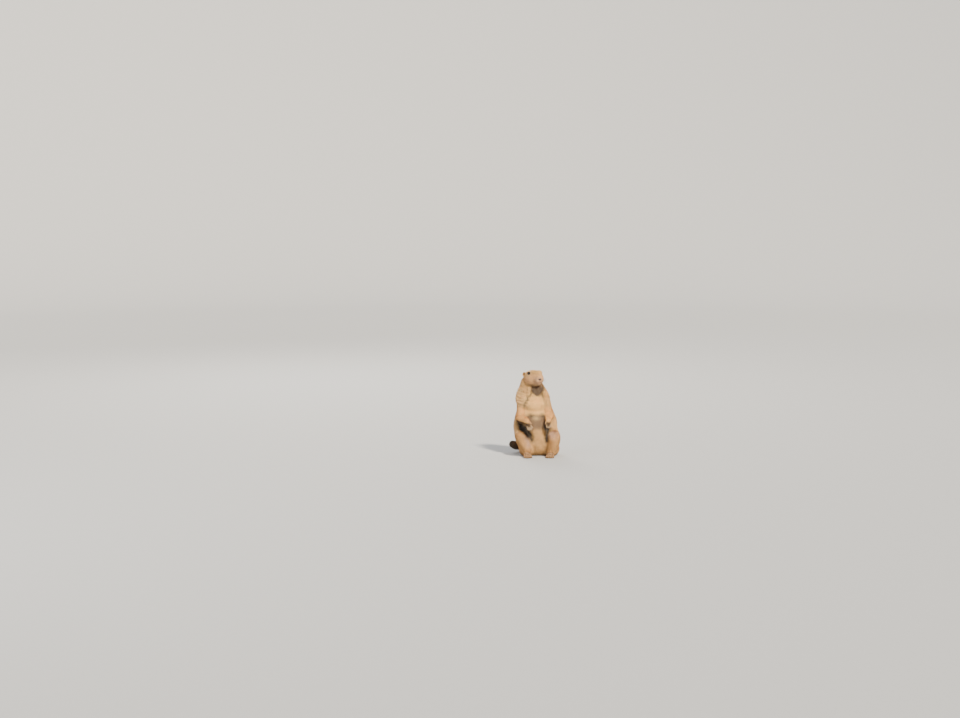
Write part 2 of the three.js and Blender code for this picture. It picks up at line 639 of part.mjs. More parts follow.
function noseSolid(extra) {
  const at = inHead(NOSE.x, 0, NOSE.z);
  const turn = new THREE.Quaternion().setFromAxisAngle(UP, radians(HEAD_YAW - 90));
  return ball(at, [4.2 + extra, 6.2 + extra, 3.6 + extra], 10, turn);
}
function nostril(sign) {
  const turn = new THREE.Quaternion().setFromAxisAngle(UP, radians(HEAD_YAW - 90 + sign * 38));
  return ball(inHead(NOSE.x + 2.9, sign * 3, NOSE.z - 0.2), [2.6, 1.0, 1.3], 6, turn);
}

// The ear is a low round cup, open forwards and outwards, cut clear of the head
const EAR = vec(-24, 23.4, -6);
function earOf(sign) {
  const turn = new THREE.Quaternion().setFromAxisAngle(UP, radians(HEAD_YAW - 90 + sign * 28))
    .multiply(new THREE.Quaternion().setFromAxisAngle(vec(1, 0, 0), radians(-sign * 14)));
  const outer = ball(inHead(EAR.x, sign * EAR.y, EAR.z), [5, 6, 8], 10, turn);
  const inner = ball(inHead(EAR.x + 3.6, sign * (EAR.y + 3.2), EAR.z + 0.8), [4.8, 4.3, 6], 8, turn);
  return outer.subtract(inner);
}

// Head with its sockets, lids, mouth and the seat of the nose
const HEAD_LOW = vec(-70, -78, 205);
const HEAD_HIGH = vec(40, 30, 290);
let head = solid(surfaceOf(neckedHead, HEAD_LOW, HEAD_HIGH, HEAD_STEP));
head = head.intersect(ahead(HEAD_CUT.at, HEAD_CUT.normal));
const eyeBalls = {};
for (const [name, { sign }] of Object.entries(SIDES)) {
  head = head.add(lidsOf(sign));
  head = head.subtract(ball(eyeAt(sign), [1, 1, 1].map(() => EYE_RADIUS + GAP), 12));
  eyeBalls[name] = ball(eyeAt(sign), [EYE_RADIUS, EYE_RADIUS, EYE_RADIUS], 12);
}
head = head.subtract(noseSolid(GAP));
head = head.subtract(solid(tube(MOUTH.map((point) => onHead(...point)), MOUTH_RADII, 4, 10)));
const philtrum = [[35, 0, -20], [33, 0, -23], [30, 0, -25.5]].map((point) => onHead(...point));
head = head.subtract(solid(tube(philtrum, [0.7, 0.7], 6, 4)));
add("head", head, FUR.head);
add("nose", noseSolid(0).subtract(nostril(1)).subtract(nostril(-1)), NOSE_COLOUR, 0.5);
const earClearance = solid(surfaceOf(neckedHead, HEAD_LOW, HEAD_HIGH, HEAD_STEP, GAP * 1.2));
for (const [name, { sign }] of Object.entries(SIDES)) {
  add(`eye_${name}`, eyeBalls[name], EYE_COLOUR, 0.1);
  add(`ear_${name}`, earOf(sign).subtract(earClearance), FUR.leg);
}

// Trunk, cut at the neck and the waist and cut clear of the limbs
const TRUNK_LOW = vec(-100, -75, -12);
const TRUNK_HIGH = vec(100, 85, 262);
const body = solid(surfaceOf(bodyField, TRUNK_LOW, TRUNK_HIGH, TRUNK_STEP)).intersect(aboveGround);
let trunk = body.intersect(behind(HEAD_CUT.at, HEAD_CUT.normal));
for (const [name, side] of Object.entries(SIDES)) {
  const foot = footOf(side);
  const haunch = haunchCutter(side, 0);
  trunk = trunk.subtract(upperArmCutter(side, GAP)).subtract(haunchCutter(side, GAP));
  trunk = trunk.subtract(footRoom(side)).subtract(forearmRoom(side));
  add(`thigh_${name}`, body.intersect(haunch).subtract(footRoom(side)), FUR.leg);
  add(`foot_${name}`, foot, FUR.paw);
  const upperArm = body.intersect(upperArmCutter(side, 0)).subtract(haunchCutter(side, GAP));
  add(`upper_arm_${name}`, upperArm.subtract(forearmRoom(side)), FUR.chest);
  add(`forearm_${name}`, forearmOf(side), FUR.leg);
  add(`hand_${name}`, handOf(side), FUR.paw);
}
add("neck", trunk.intersect(ahead(NECK_CUT.at, NECK_CUT.normal)), FUR.head);
const belowNeck = trunk.intersect(behind(NECK_CUT.at, NECK_CUT.normal));
add("chest", belowNeck.intersect(ahead(WAIST_CUT.at, WAIST_CUT.normal)), FUR.chest);
add("abdomen", belowNeck.intersect(behind(WAIST_CUT.at, WAIST_CUT.normal)), FUR.belly);

const tailRoom = solid(surfaceOf(bodyField, vec(-60, 20, -12), vec(60, 85, 80), TRUNK_STEP, GAP * 1.5));
add("tail_base", tailBase().subtract(tailRoom), FUR.tail);
add("tail_brush", tailBrush(), FUR.black);

export default group;
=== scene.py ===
"""A prairie dog sitting up, as a still, life-size model.

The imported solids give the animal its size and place. This script lays one skin inside
them, deeper by the depth of the coat, and grows the coat on it in tufts. Eyes, lids,
nose, lips, ears, claws and whiskers are pieces of their own. Shapes are worked out in
millimetres in the frame's axes, and turned to metres as a mesh is made.
"""
import logging
import math
from dataclasses import dataclass, field, replace
from enum import Enum
from typing import Callable, Sequence

import bpy
import numpy as np
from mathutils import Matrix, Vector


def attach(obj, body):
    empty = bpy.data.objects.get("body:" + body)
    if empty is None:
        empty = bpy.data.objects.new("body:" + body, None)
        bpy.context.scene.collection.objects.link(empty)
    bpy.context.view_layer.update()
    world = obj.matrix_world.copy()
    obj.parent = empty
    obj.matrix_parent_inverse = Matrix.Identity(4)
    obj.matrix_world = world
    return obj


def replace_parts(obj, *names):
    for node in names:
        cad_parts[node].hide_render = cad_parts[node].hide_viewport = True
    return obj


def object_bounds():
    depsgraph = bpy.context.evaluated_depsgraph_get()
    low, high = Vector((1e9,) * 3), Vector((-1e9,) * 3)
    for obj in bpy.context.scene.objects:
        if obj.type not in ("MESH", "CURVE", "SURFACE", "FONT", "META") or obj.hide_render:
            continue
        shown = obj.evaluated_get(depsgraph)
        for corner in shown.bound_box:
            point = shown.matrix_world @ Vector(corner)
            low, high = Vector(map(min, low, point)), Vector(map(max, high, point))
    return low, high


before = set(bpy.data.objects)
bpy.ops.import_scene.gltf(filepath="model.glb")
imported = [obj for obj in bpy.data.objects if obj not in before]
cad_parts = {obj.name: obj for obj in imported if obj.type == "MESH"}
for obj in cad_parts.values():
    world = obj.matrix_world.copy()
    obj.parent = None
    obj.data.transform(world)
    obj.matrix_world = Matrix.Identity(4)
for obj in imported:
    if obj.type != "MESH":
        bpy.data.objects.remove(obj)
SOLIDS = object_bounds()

LOG = logging.getLogger("prairie_dog")
Array = np.ndarray
Point = tuple[float, float, float]
Span = tuple[float, float]
Digit = tuple[Array, Array, Array]

METRES = 0.001
SEED = 20417
FAR = 99.0
BOX_LOW, BOX_HIGH = (np.array(corner) / METRES for corner in SOLIDS)


# Numbers and directions

def unit(vectors: Array) -> Array:
    """Vectors divided by their own length."""
    return vectors / np.maximum(np.linalg.norm(vectors, axis=-1, keepdims=True), 1e-9)


def smoothstep(value: Array, low: float, high: float) -> Array:
    """0 below low, 1 above high, and the cubic 3t^2 - 2t^3 between. High may be the lesser."""
    t = np.clip((value - low) / (high - low), 0.0, 1.0)
    return t * t * (3.0 - 2.0 * t)


def mix(first: Array, second: Array, share: Array) -> Array:
    """The first towards the second by a share from 0 to 1."""
    return first + (second - first) * share


def smooth_min(first: Array, second: Array, blend: Array | float) -> Array:
    """The lesser of two distances, less blend/4 times the square of how near they are."""
    if np.isscalar(blend) and blend == 0:
        return np.minimum(first, second)
    near = np.maximum(blend - np.abs(first - second), 0.0) / blend
    return np.minimum(first, second) - near * near * blend / 4.0


def turning(yaw: float = 0.0, roll: float = 0.0) -> Array:
    """The matrix that turns by roll about Y and then by yaw about Z, in degrees."""
    a, b = math.radians(yaw), math.radians(roll)
    about_z = np.array([[math.cos(a), -math.sin(a), 0], [math.sin(a), math.cos(a), 0], [0, 0, 1]])
    about_y = np.array([[math.cos(b), 0, math.sin(b)], [0, 1, 0], [-math.sin(b), 0, math.cos(b)]])
    return about_z @ about_y


def lattice(cells: Array, seed: int) -> Array:
    """A value from 0 to 1 for each whole-number cell: the fraction of a large sine of its place."""
    mixed = cells @ np.array([127.1, 311.7, 74.7]) + seed * 17.31
    return np.modf(np.abs(np.sin(mixed) * 43758.5453))[0]


def wander(points: Array, size: float, seed: int) -> Array:
    """Smooth noise from -1 to 1: lattice values at cells of a size, blended by smoothsteps between them."""
    scaled = points / size
    low = np.floor(scaled)
    part = scaled - low
    part = part * part * (3.0 - 2.0 * part)
    total = np.zeros(len(points))
    for corner in np.ndindex(2, 2, 2):
        step = np.array(corner)
        weight = np.prod(np.where(step == 1, part, 1.0 - part), axis=1)
        total += weight * lattice(low + step, seed)
    return total * 2.0 - 1.0


def spline(points: Sequence[Point], count: int) -> Array:
    """A Catmull-Rom curve through the points, at evenly spaced parameters: cubic between neighbours."""
    knots = np.asarray(points, float)
    padded = np.vstack([2 * knots[0] - knots[1], knots, 2 * knots[-1] - knots[-2]])
    t = np.linspace(0, len(knots) - 1, count)
    n = np.minimum(t.astype(int), len(knots) - 2)
    s = (t - n)[:, None]
    a, b, c, d = (padded[n + k] for k in range(4))
    return 0.5 * (2 * b + (c - a) * s + (2 * a - 5 * b + 4 * c - d) * s**2 + (3 * b - a - 3 * c + d) * s**3)


def along_line(points: Array, start: Point | Array, end: Point | Array) -> tuple[Array, Array]:
    """How far along a line the place nearest to each point lies, from 0 to 1, and how far off it is."""
    start = np.asarray(start, float)
    axis = np.asarray(end, float) - start
    t = np.clip((points - start) @ axis / (axis @ axis), 0.0, 1.0)
    return t, np.linalg.norm(points - start - t[:, None] * axis, axis=1)


def everywhere(way: Array, points: Array) -> Array:
    """One direction, of length 1, for every point."""
    return np.broadcast_to(unit(np.asarray(way, float)), points.shape)


# Forms that the body is blended from

@dataclass(frozen=True)
class Ellipsoid:
    """A rounded mass, with how softly it blends into the forms before it."""

    centre: Point
    radii: Point
    blend: float = 0.0
    yaw: float = 0.0
    roll: float = 0.0

    def distance(self, points: Array) -> Array:
        """About the distance to the surface: k0(k0-1)/k1, k0 and k1 the lengths of q/r and q/r^2."""
        q = (points - np.array(self.centre)) @ turning(self.yaw, self.roll)
        r = np.array(self.radii)
        k0 = np.linalg.norm(q / r, axis=1)
        k1 = np.linalg.norm(q / r**2, axis=1)
        return k0 * (k0 - 1.0) / np.maximum(k1, 1e-9)


@dataclass(frozen=True)
class Limb:
    """A round limb between two points, whose radius runs evenly from one end's to the other's."""

    start: Point | Array
    end: Point | Array
    start_radius: float
    end_radius: float
    blend: float = 0.0

    def distance(self, points: Array) -> Array:
        """The distance to the nearest point of the axis, less the radius there."""
        t, away = along_line(points, self.start, self.end)
        return away - mix(self.start_radius, self.end_radius, t)


def blended(forms: Sequence[Ellipsoid | Limb], points: Array) -> Array:
    """The forms in order, each joined to those before it by its own blend."""
    total = forms[0].distance(points)
    for form in forms[1:]:
        total = smooth_min(total, form.distance(points), form.blend)
    return total


# Parts of the body

class Side(Enum):
    """The animal's own right is at negative X, its left at positive X."""

    RIGHT = -1
    LEFT = 1

    @property
    def label(self) -> str:
        """The side's name in the names of nodes and pieces."""
        return self.name.lower()


def digit_forms(digit: Digit, radius: float, tip_share: float, blend: float) -> list[Limb]:
    """A digit's two limbs, from root to knuckle and on to the tip, thickest at the root."""
    root, knuckle, tip = digit
    return [Limb(root, knuckle, radius * 1.1, radius, blend), Limb(knuckle, tip, radius, radius * tip_share, blend)]


def between_digits(digits: list[Digit], radius: float, points: Array) -> Array:
    """1 between two digits and 0 on one: by how much nearer the nearest is than the next; the mask of the painted shade
    between them.
    """
    away = np.sort([along_line(points, root, tip)[1] - radius for root, _, tip in digits], axis=0)
    return smoothstep(away[1] - away[0], 1.5, 0.3) * smoothstep(away[0], 9, 4)


def where_near(points: Array, centre: Array, reach: float, distance: Callable[[Array], Array]) -> Array:
    """A form's distance, worked out only within reach of its centre, and FAR elsewhere."""
    made = np.full(len(points), FAR)
    close = np.linalg.norm(points - centre, axis=1) < reach
    if close.any():
        made[close] = distance(points[close])
    return made


@dataclass(frozen=True)
class HeadFrame:
    """The head's own axes: X forward, Y to its left, Z up, from midway between the eyes."""

    eyes: Point = (-6.4, -24.0, 268.6)
    yaw: float = 28.0
    scale: float = 1.06

    @property
    def turn(self) -> Array:
        """The matrix whose columns are the head's axes."""
        return turning(self.yaw - 90.0)

    def local(self, points: Array) -> Array:
        """Points in the head's own axes, before its scale."""
        return (points - np.array(self.eyes)) @ self.turn / self.scale

    def place(self, local: Array) -> Array:
        """Points of the head's own axes, in the frame."""
        return np.asarray(local, float) * self.scale @ self.turn.T + np.array(self.eyes)

    def direction(self, local: Array) -> Array:
        """Directions of the head's own axes, in the frame."""
        return np.asarray(local, float) @ self.turn.T


@dataclass(frozen=True)
class Trunk:
    """Belly, rump, chest, shoulders and neck."""

    forms: tuple[Ellipsoid, ...] = (
        Ellipsoid((-3.5, 8, 94), (71.5, 56, 80)),
        Ellipsoid((6, 12, 46), (61.5, 50.4, 52), 20),
        Ellipsoid((-9, 2, 160), (50, 38, 62), 26),
        Ellipsoid((-8, -24, 172), (37, 24, 28), 6),
        Ellipsoid((-14, 0, 196), (49.7, 35, 42), 18),
        Ellipsoid((-17, -4, 229), (36, 31, 38), 14),
        Ellipsoid((-8, -20, 214), (26, 18, 24), 10),
    )

    def distance(self, points: Array) -> Array:
        """The distance to the trunk's own forms."""
        return blended(self.forms, points)

    def lie(self, points: Array) -> Array:
        """Down, a little outwards and a little to the back."""
        x, y, _ = points.T
        return unit(np.stack([(x + 6) / 170, 0.10 + (y - 5) / 420, np.full(len(x), -1.0)], 1))


@dataclass(frozen=True)
class Head:
    """Skull, brow, cheeks, jaw, muzzle and chin, in the head's own axes."""

    axes: HeadFrame = HeadFrame()
    forms: tuple[Ellipsoid | Limb, ...] = (
        Ellipsoid((-13, 0, -9.4), (27, 26.5, 17.6)),
        Ellipsoid((5, 0, -5), (17.5, 19, 13), 8),
        Ellipsoid((-4, 15.5, -19), (21, 13, 15.5), 8),
        Ellipsoid((-4, -15.5, -19), (21, 13, 15.5), 8),
        Ellipsoid((2, 0, -23), (24, 17, 14), 8),
        Limb((8, 0, -11.5), (21, 0, -18), 14.5, 11, 7),
        Ellipsoid((22, 6, -20.5), (9.6, 7.2, 7.4), 4),
        Ellipsoid((22, -6, -20.5), (9.6, 7.2, 7.4), 4),
        Ellipsoid((17.5, 0, -30), (9.5, 8, 5.8), 3),
        Ellipsoid((0, 16.5, 2.4), (9.5, 4.5, 5), 6),
        Ellipsoid((0, -16.5, 2.4), (9.5, 4.5, 5), 6),
    )
    nose: Point = (29.8, 0.0, -16.2)
    eye_side: float = 18.2
    eye_radius: float = 6.5
    eye_yaw: float = 62.0
    eye_pitch: float = 8.0
    ear: Point = (-24.0, 23.4, -6.0)
    mouth: tuple[Point, ...] = (
        (8, -12.5, -31.5), (13, -11, -28.9), (19, -9.5, -26.9), (26.5, -6, -25.6), (30, 0, -24.8),
        (26.5, 6, -25.6), (19, 9.5, -26.9), (13, 11, -28.9), (8, 12.5, -31.5),
    )

    def distance(self, points: Array) -> Array:
        """The distance to the head's forms, at the head's scale."""
        return blended(self.forms, self.axes.local(points)) * self.axes.scale

    def eye(self, side: Side) -> Array:
        """The middle of an eyeball."""
        return self.axes.place([0, side.value * self.eye_side, 0])

    def eye_axis(self, side: Side) -> Array:
        """Where an eye looks: turned outwards by its yaw and up by its pitch."""
        yaw, pitch = math.radians(self.eye_yaw), math.radians(self.eye_pitch)
        across = side.value * math.sin(yaw) * math.cos(pitch)
        return self.axes.direction([math.cos(yaw) * math.cos(pitch), across, math.sin(pitch)])

    def shortness(self, points: Array) -> Array:
        """The coat's depth over the head, as a share: least on the muzzle and about the eyes."""
        share = mix(1.15, 0.42, smoothstep(self.axes.local(points)[:, 0], -8, 20))
        for side in Side:
            away = np.linalg.norm(points - self.eye(side), axis=1)
            share = mix(share, 0.36, smoothstep(away, 16, 8.5))
        return share

    def lie(self, points: Array) -> Array:
        """Away from the nose, and a little down behind it."""
        away = unit(points - self.axes.place(self.nose))
        return unit(away + np.array([0, 0, -0.30]))


@dataclass(frozen=True)
class Leg:
    """A hind leg folded under the body: haunch, knee, shin and a flat foot with five toes."""

    side: Side
    seat: Point
    haunch: Point
    roll: float
    hip: Point
    knee: Point
    shin: Point
    heel: Point
    ball: Point
    toe_lengths: tuple[float, ...] = (0.6, 0.92, 1.0, 0.95, 0.7)
    toe_radius: float = 3.1

    @property
    def forward(self) -> Array:
        """The level direction from heel to ball."""
        way = np.array(self.ball) - np.array(self.heel)
        return unit(way * [1, 1, 0])

    @property
    def across(self) -> Array:
        """The level direction to the outer side of the foot."""
        fx, fy, _ = self.forward
        return np.array([-fy, fx, 0]) * self.side.value

    def toes(self) -> list[Digit]:
        """Root, knuckle and tip of each toe: fanned across the ball, the middle toe longest."""
        made = []
        for n, length in enumerate(self.toe_lengths):
            place = (n - 2) / 2
            root = np.array(self.ball) + self.across * place * 8.8
            tip = root + self.forward * (10 + 11 * length) + self.across * place * 2.4
            root[2], tip[2] = 5.2, 3.4
            made.append((root, root + (tip - root) * 0.55 + [0, 0, 2.0], tip))
        return made

    def thigh_distance(self, points: Array) -> Array:
        """The distance to seat, haunch, thigh and shin."""
        forms = (
            Ellipsoid(self.seat, (25.5, 37, 25)),
            Ellipsoid(self.haunch, (24, 46, 45), 8, 8 * self.side.value, self.roll),
            Limb(self.hip, self.knee, 32, 18, 10),
            Limb(self.knee, self.shin, 15, 15, 10),
        )
        return blended(forms, points)

    def foot_distance(self, points: Array) -> Array:
        """The distance to the sole and the toes."""
        forms = [Limb(self.heel, self.ball, 9, 9.5), Ellipsoid(self.ball, (12.5, 13, 8.5), 5)]
        for toe in self.toes():
            forms += digit_forms(toe, self.toe_radius, 0.95, 1.6)
        middle = (np.array(self.heel) + self.toes()[2][2]) / 2
        return where_near(points, middle, 60, lambda near: blended(forms, near))

    def thigh_lie(self, points: Array) -> Array:
        """Down, outwards and to the front."""
        return everywhere([0.22 * self.side.value, -0.58, -1.0], points)

    def foot_lie(self, points: Array) -> Array:
        """Towards the toes."""
        return everywhere(self.forward + [0, 0, -0.1], points)


@dataclass(frozen=True)
class Arm:
    """An arm folded before the chest, with a hand of four fingers and a short thumb."""

    side: Side
    shoulder: Point
    elbow: Point
    wrist: Point
    knuckles: Point
    fingers_end: Point
    finger_lengths: tuple[float, ...] = (0.5, 0.88, 1.0, 0.96, 0.8)
    finger_radius: float = 2.5
    thumb_radius: float = 2.1

    @property
    def down(self) -> Array:
        """From the knuckles to the ends of the fingers."""
        return np.array(self.fingers_end) - np.array(self.knuckles)

    @property
    def across(self) -> Array:
        """Over the palm, from the thumb's side."""
        return unit(np.cross(self.down, [0, -1, 0])) * -self.side.value

    def fingers(self) -> list[Digit]:
        """Root, knuckle and tip of each finger: side by side, each bulging forward at its knuckle."""
        made = []
        for n, length in enumerate(self.finger_lengths):
            place = (n - 2) / 2
            root = np.array(self.knuckles) + self.across * place * 6.2
            if n == 0:
                root = root - self.down * 0.3
            tip = root + self.down * length * 0.85 + self.across * place * 2.6
            made.append((root, root + (tip - root) * 0.55 + [0, -2.0, 0], tip))
        return made

    def upper_distance(self, points: Array) -> Array:
        """The distance to the upper arm."""
        return Limb(self.shoulder, self.elbow, 20, 15.2).distance(points)

    def fore_distance(self, points: Array) -> Array:
        """The distance to the forearm and palm."""
        return blended((Limb(self.elbow, self.wrist, 17.2, 7.8), Limb(self.wrist, self.knuckles, 7.8, 7.8, 5)), points)

    def hand_distance(self, points: Array) -> Array:
        """The distance to the knuckles and fingers."""
        forms: list[Limb] = []
        for n, finger in enumerate(self.fingers()):
            forms += digit_forms(finger, self.finger_radius if n else self.thumb_radius, 0.9, 0.8)
        return where_near(points, np.array(self.knuckles), 40, lambda near: blended(forms, near))

    def upper_lie(self, points: Array) -> Array:
        """From the shoulder to the elbow."""
        return everywhere(unit(np.subtract(self.elbow, self.shoulder)) + [0, 0, -0.3], points)

    def fore_lie(self, points: Array) -> Array:
        """From the elbow to the wrist, turning down past it."""
        return everywhere(unit(np.subtract(self.wrist, self.elbow)) + [0, 0, -0.45], points)

    def hand_lie(self, points: Array) -> Array:
        """Along the fingers."""
        return everywhere(self.down, points)


@dataclass(frozen=True)
class Tail:
    """A short tail laid round to the right, ending in a brush."""

    path: tuple[Point, ...] = (
        (4, 56, 24), (-9, 71, 15), (-34, 75, 10.8), (-56, 66, 17), (-68, 58, 23), (-74, 55, 26),
    )
    radii: tuple[float, ...] = (10.5, 10, 10.2, 9.6, 8.2, 6.2)
    brush_start: float = 2.35
    brush_half: tuple[float, float] = (9.5, 17.0)
    brush_reach: float = 17.0

    def distance(self, points: Array) -> Array:
        """The distance to the joints between the path's points."""
        forms = [
            Limb(self.path[n], self.path[n + 1], self.radii[n], self.radii[n + 1], 3.0)
            for n in range(len(self.path) - 1)
        ]
        return blended(forms, points)

    def along(self, points: Array) -> Array:
        """How far along the path the nearest point of it lies, counted in the path's points."""
        best, place = np.full(len(points), np.inf), np.zeros(len(points))
        for n, (start, end) in enumerate(zip(self.path, self.path[1:])):
            t, away = along_line(points, start, end)
            place = np.where(away < best, n + t, place)
            best = np.minimum(best, away)
        return place

    def lie(self, points: Array) -> Array:
        """Along the path, towards the tip."""
        ways = unit(np.diff(np.array(self.path), axis=0))
        n = np.clip(self.along(points).astype(int), 0, len(ways) - 1)
        return ways[n]

    def brush(self, count: int, draw: np.random.Generator) -> tuple[list[Array], Array]:
        """The brush's hairs: three stations each, and which way is out at their roots.

        A hair leaves the core at a random place along it and a random turn round it. Out is
        an oval, higher than wide, and a hair's middle and tip stand out by a share of it while
        the hair runs on along the core. Hairs near the end stand out less and close the tip.
        """
        last = 199
        curve = spline(self.path, last + 1)
        t = draw.uniform(0, 1, count) ** 0.8
        n = (mix(self.brush_start, len(self.path) - 1.02, t) / (len(self.path) - 1) * last).astype(int)
        along = unit(curve[np.minimum(n + 1, last)] - curve[n - 1])
        right = unit(np.cross(along, [0, 0, 1.0]))
        up = np.cross(right, along)
        angle = draw.uniform(0, 2 * np.pi, count)
        wide, high = self.brush_half
        round_way = np.cos(angle)[:, None] * right + np.sin(angle)[:, None] * up
        out = wide * np.cos(angle)[:, None] * right + high * np.sin(angle)[:, None] * up
        fill = np.sqrt(draw.uniform(0.0, 1.0, count))
        start = mix(0.55, 1.0, smoothstep(t, 0.0, 0.45))
        swell = (fill * start * mix(1.0, 0.78, t))[:, None]
        reach = (self.brush_reach * draw.uniform(0.55, 1.2, count) * mix(1.0, 0.80, t))[:, None]
        root = curve[n] + round_way * 2.0
        middle = root + along * reach * 0.45 + out * swell * 0.72
        tip = root + along * reach + out * swell * mix(1.0, 0.35, t[:, None])
        return [root, middle, tip], round_way


RIGHT_LEG = Leg(
    Side.RIGHT, seat=(-32, 4, 19), haunch=(-38, -10, 44), roll=-28, hip=(-32, 22, 46), knee=(-48, -36, 64),
    shin=(-34, -24, 20), heel=(-36, -8, 8.5), ball=(-31, -49, 7.5),
)
LEFT_LEG = Leg(
    Side.LEFT, seat=(49, 4, 21), haunch=(49, -10, 44), roll=14, hip=(40, 22, 46), knee=(55, -36, 64),
    shin=(46, -24, 20), heel=(48, -7, 8.5), ball=(43, -48, 7.5),
)
RIGHT_ARM = Arm(
    Side.RIGHT, shoulder=(-43, -12, 178), elbow=(-51, -21, 125), wrist=(-34, -52, 119),
    knuckles=(-27, -60, 107), fingers_end=(-16, -64, 91),
)
LEFT_ARM = Arm(
    Side.LEFT, shoulder=(23, -14, 180), elbow=(38, -19, 136), wrist=(36, -51, 123),
    knuckles=(35, -58, 111), fingers_end=(34, -61, 96),
)


class Region(Enum):
    """The regions of the coat, numbered so that an array can hold them."""

    TRUNK = 0
    HEAD = 1
    THIGH = 2
    FOOT = 3
    UPPER_ARM = 4
    FOREARM = 5
    HAND = 6
    TAIL = 7


@dataclass(frozen=True)
class CoatMeasure:
    """How deep the coat stands over the skin, and how long and wide its tufts are."""

    depth: float
    length: float
    width: float


COAT = {
    Region.TRUNK: CoatMeasure(6.5, 10.5, 0.62),
    Region.HEAD: CoatMeasure(2.5, 4.6, 0.36),
    Region.THIGH: CoatMeasure(5.0, 9.0, 0.56),
    Region.FOOT: CoatMeasure(0.6, 1.8, 0.24),
    Region.UPPER_ARM: CoatMeasure(4.0, 8.0, 0.52),
    Region.FOREARM: CoatMeasure(2.2, 5.5, 0.44),
    Region.HAND: CoatMeasure(0.5, 1.5, 0.22),
    Region.TAIL: CoatMeasure(4.5, 10.0, 0.60),
}
BLENDS = {
    Region.HEAD: 10.0, Region.THIGH: 9.0, Region.FOREARM: 3.0, Region.FOOT: 3.0, Region.HAND: 1.5, Region.TAIL: 5.0,
}


@dataclass
class Part:
    """A part of the body as seen from some places: its distance, its coat's depth, and the coat's lie."""

    region: Region
    distance: Array
    depth: Array
    lie: Callable[[Array], Array]


@dataclass(frozen=True)
class Fold:
    """A fold of the front: a line from one (x, z) to another, where the skin is sunk and painted shade darkens the
    coat.
    """

    start: Span
    end: Span
    half_width: float
    sunk: float
    shade: float

    def near(self, points: Array) -> Array:
        """1 on the line and less beside it: a flat-topped bell of the distance over the half width."""
        _, away = along_line(points[:, (0, 2)], self.start, self.end)
        return np.exp(-((away / self.half_width) ** 3)) * smoothstep(points[:, 1], -4, -18)


# Painted shade: the creases between the chest and the shoulders, the armpits, the dark wedges between arms, belly and
# thighs, and the hollows beside the chest.
FOLDS = (
    Fold((-17, 209), (-43, 165), 5.0, 3.5, 0.54),
    Fold((12, 205), (29, 166), 4.5, 3.5, 0.50),
    Fold((-58, 114), (-44, 102), 8.0, 3.5, 0.62),
    Fold((-42, 98), (-27, 76), 13.0, 6.0, 1.0),
    Fold((-27, 76), (-16, 60), 8.5, 5.0, 0.85),
    Fold((27, 112), (34, 90), 8.5, 5.0, 0.94),
    Fold((34, 90), (29, 58), 9.0, 5.5, 0.94),
    Fold((-20, 142), (-15, 139), 7.0, 2.0, 0.48),
    Fold((13, 140), (17, 138), 7.0, 2.0, 0.48),
)


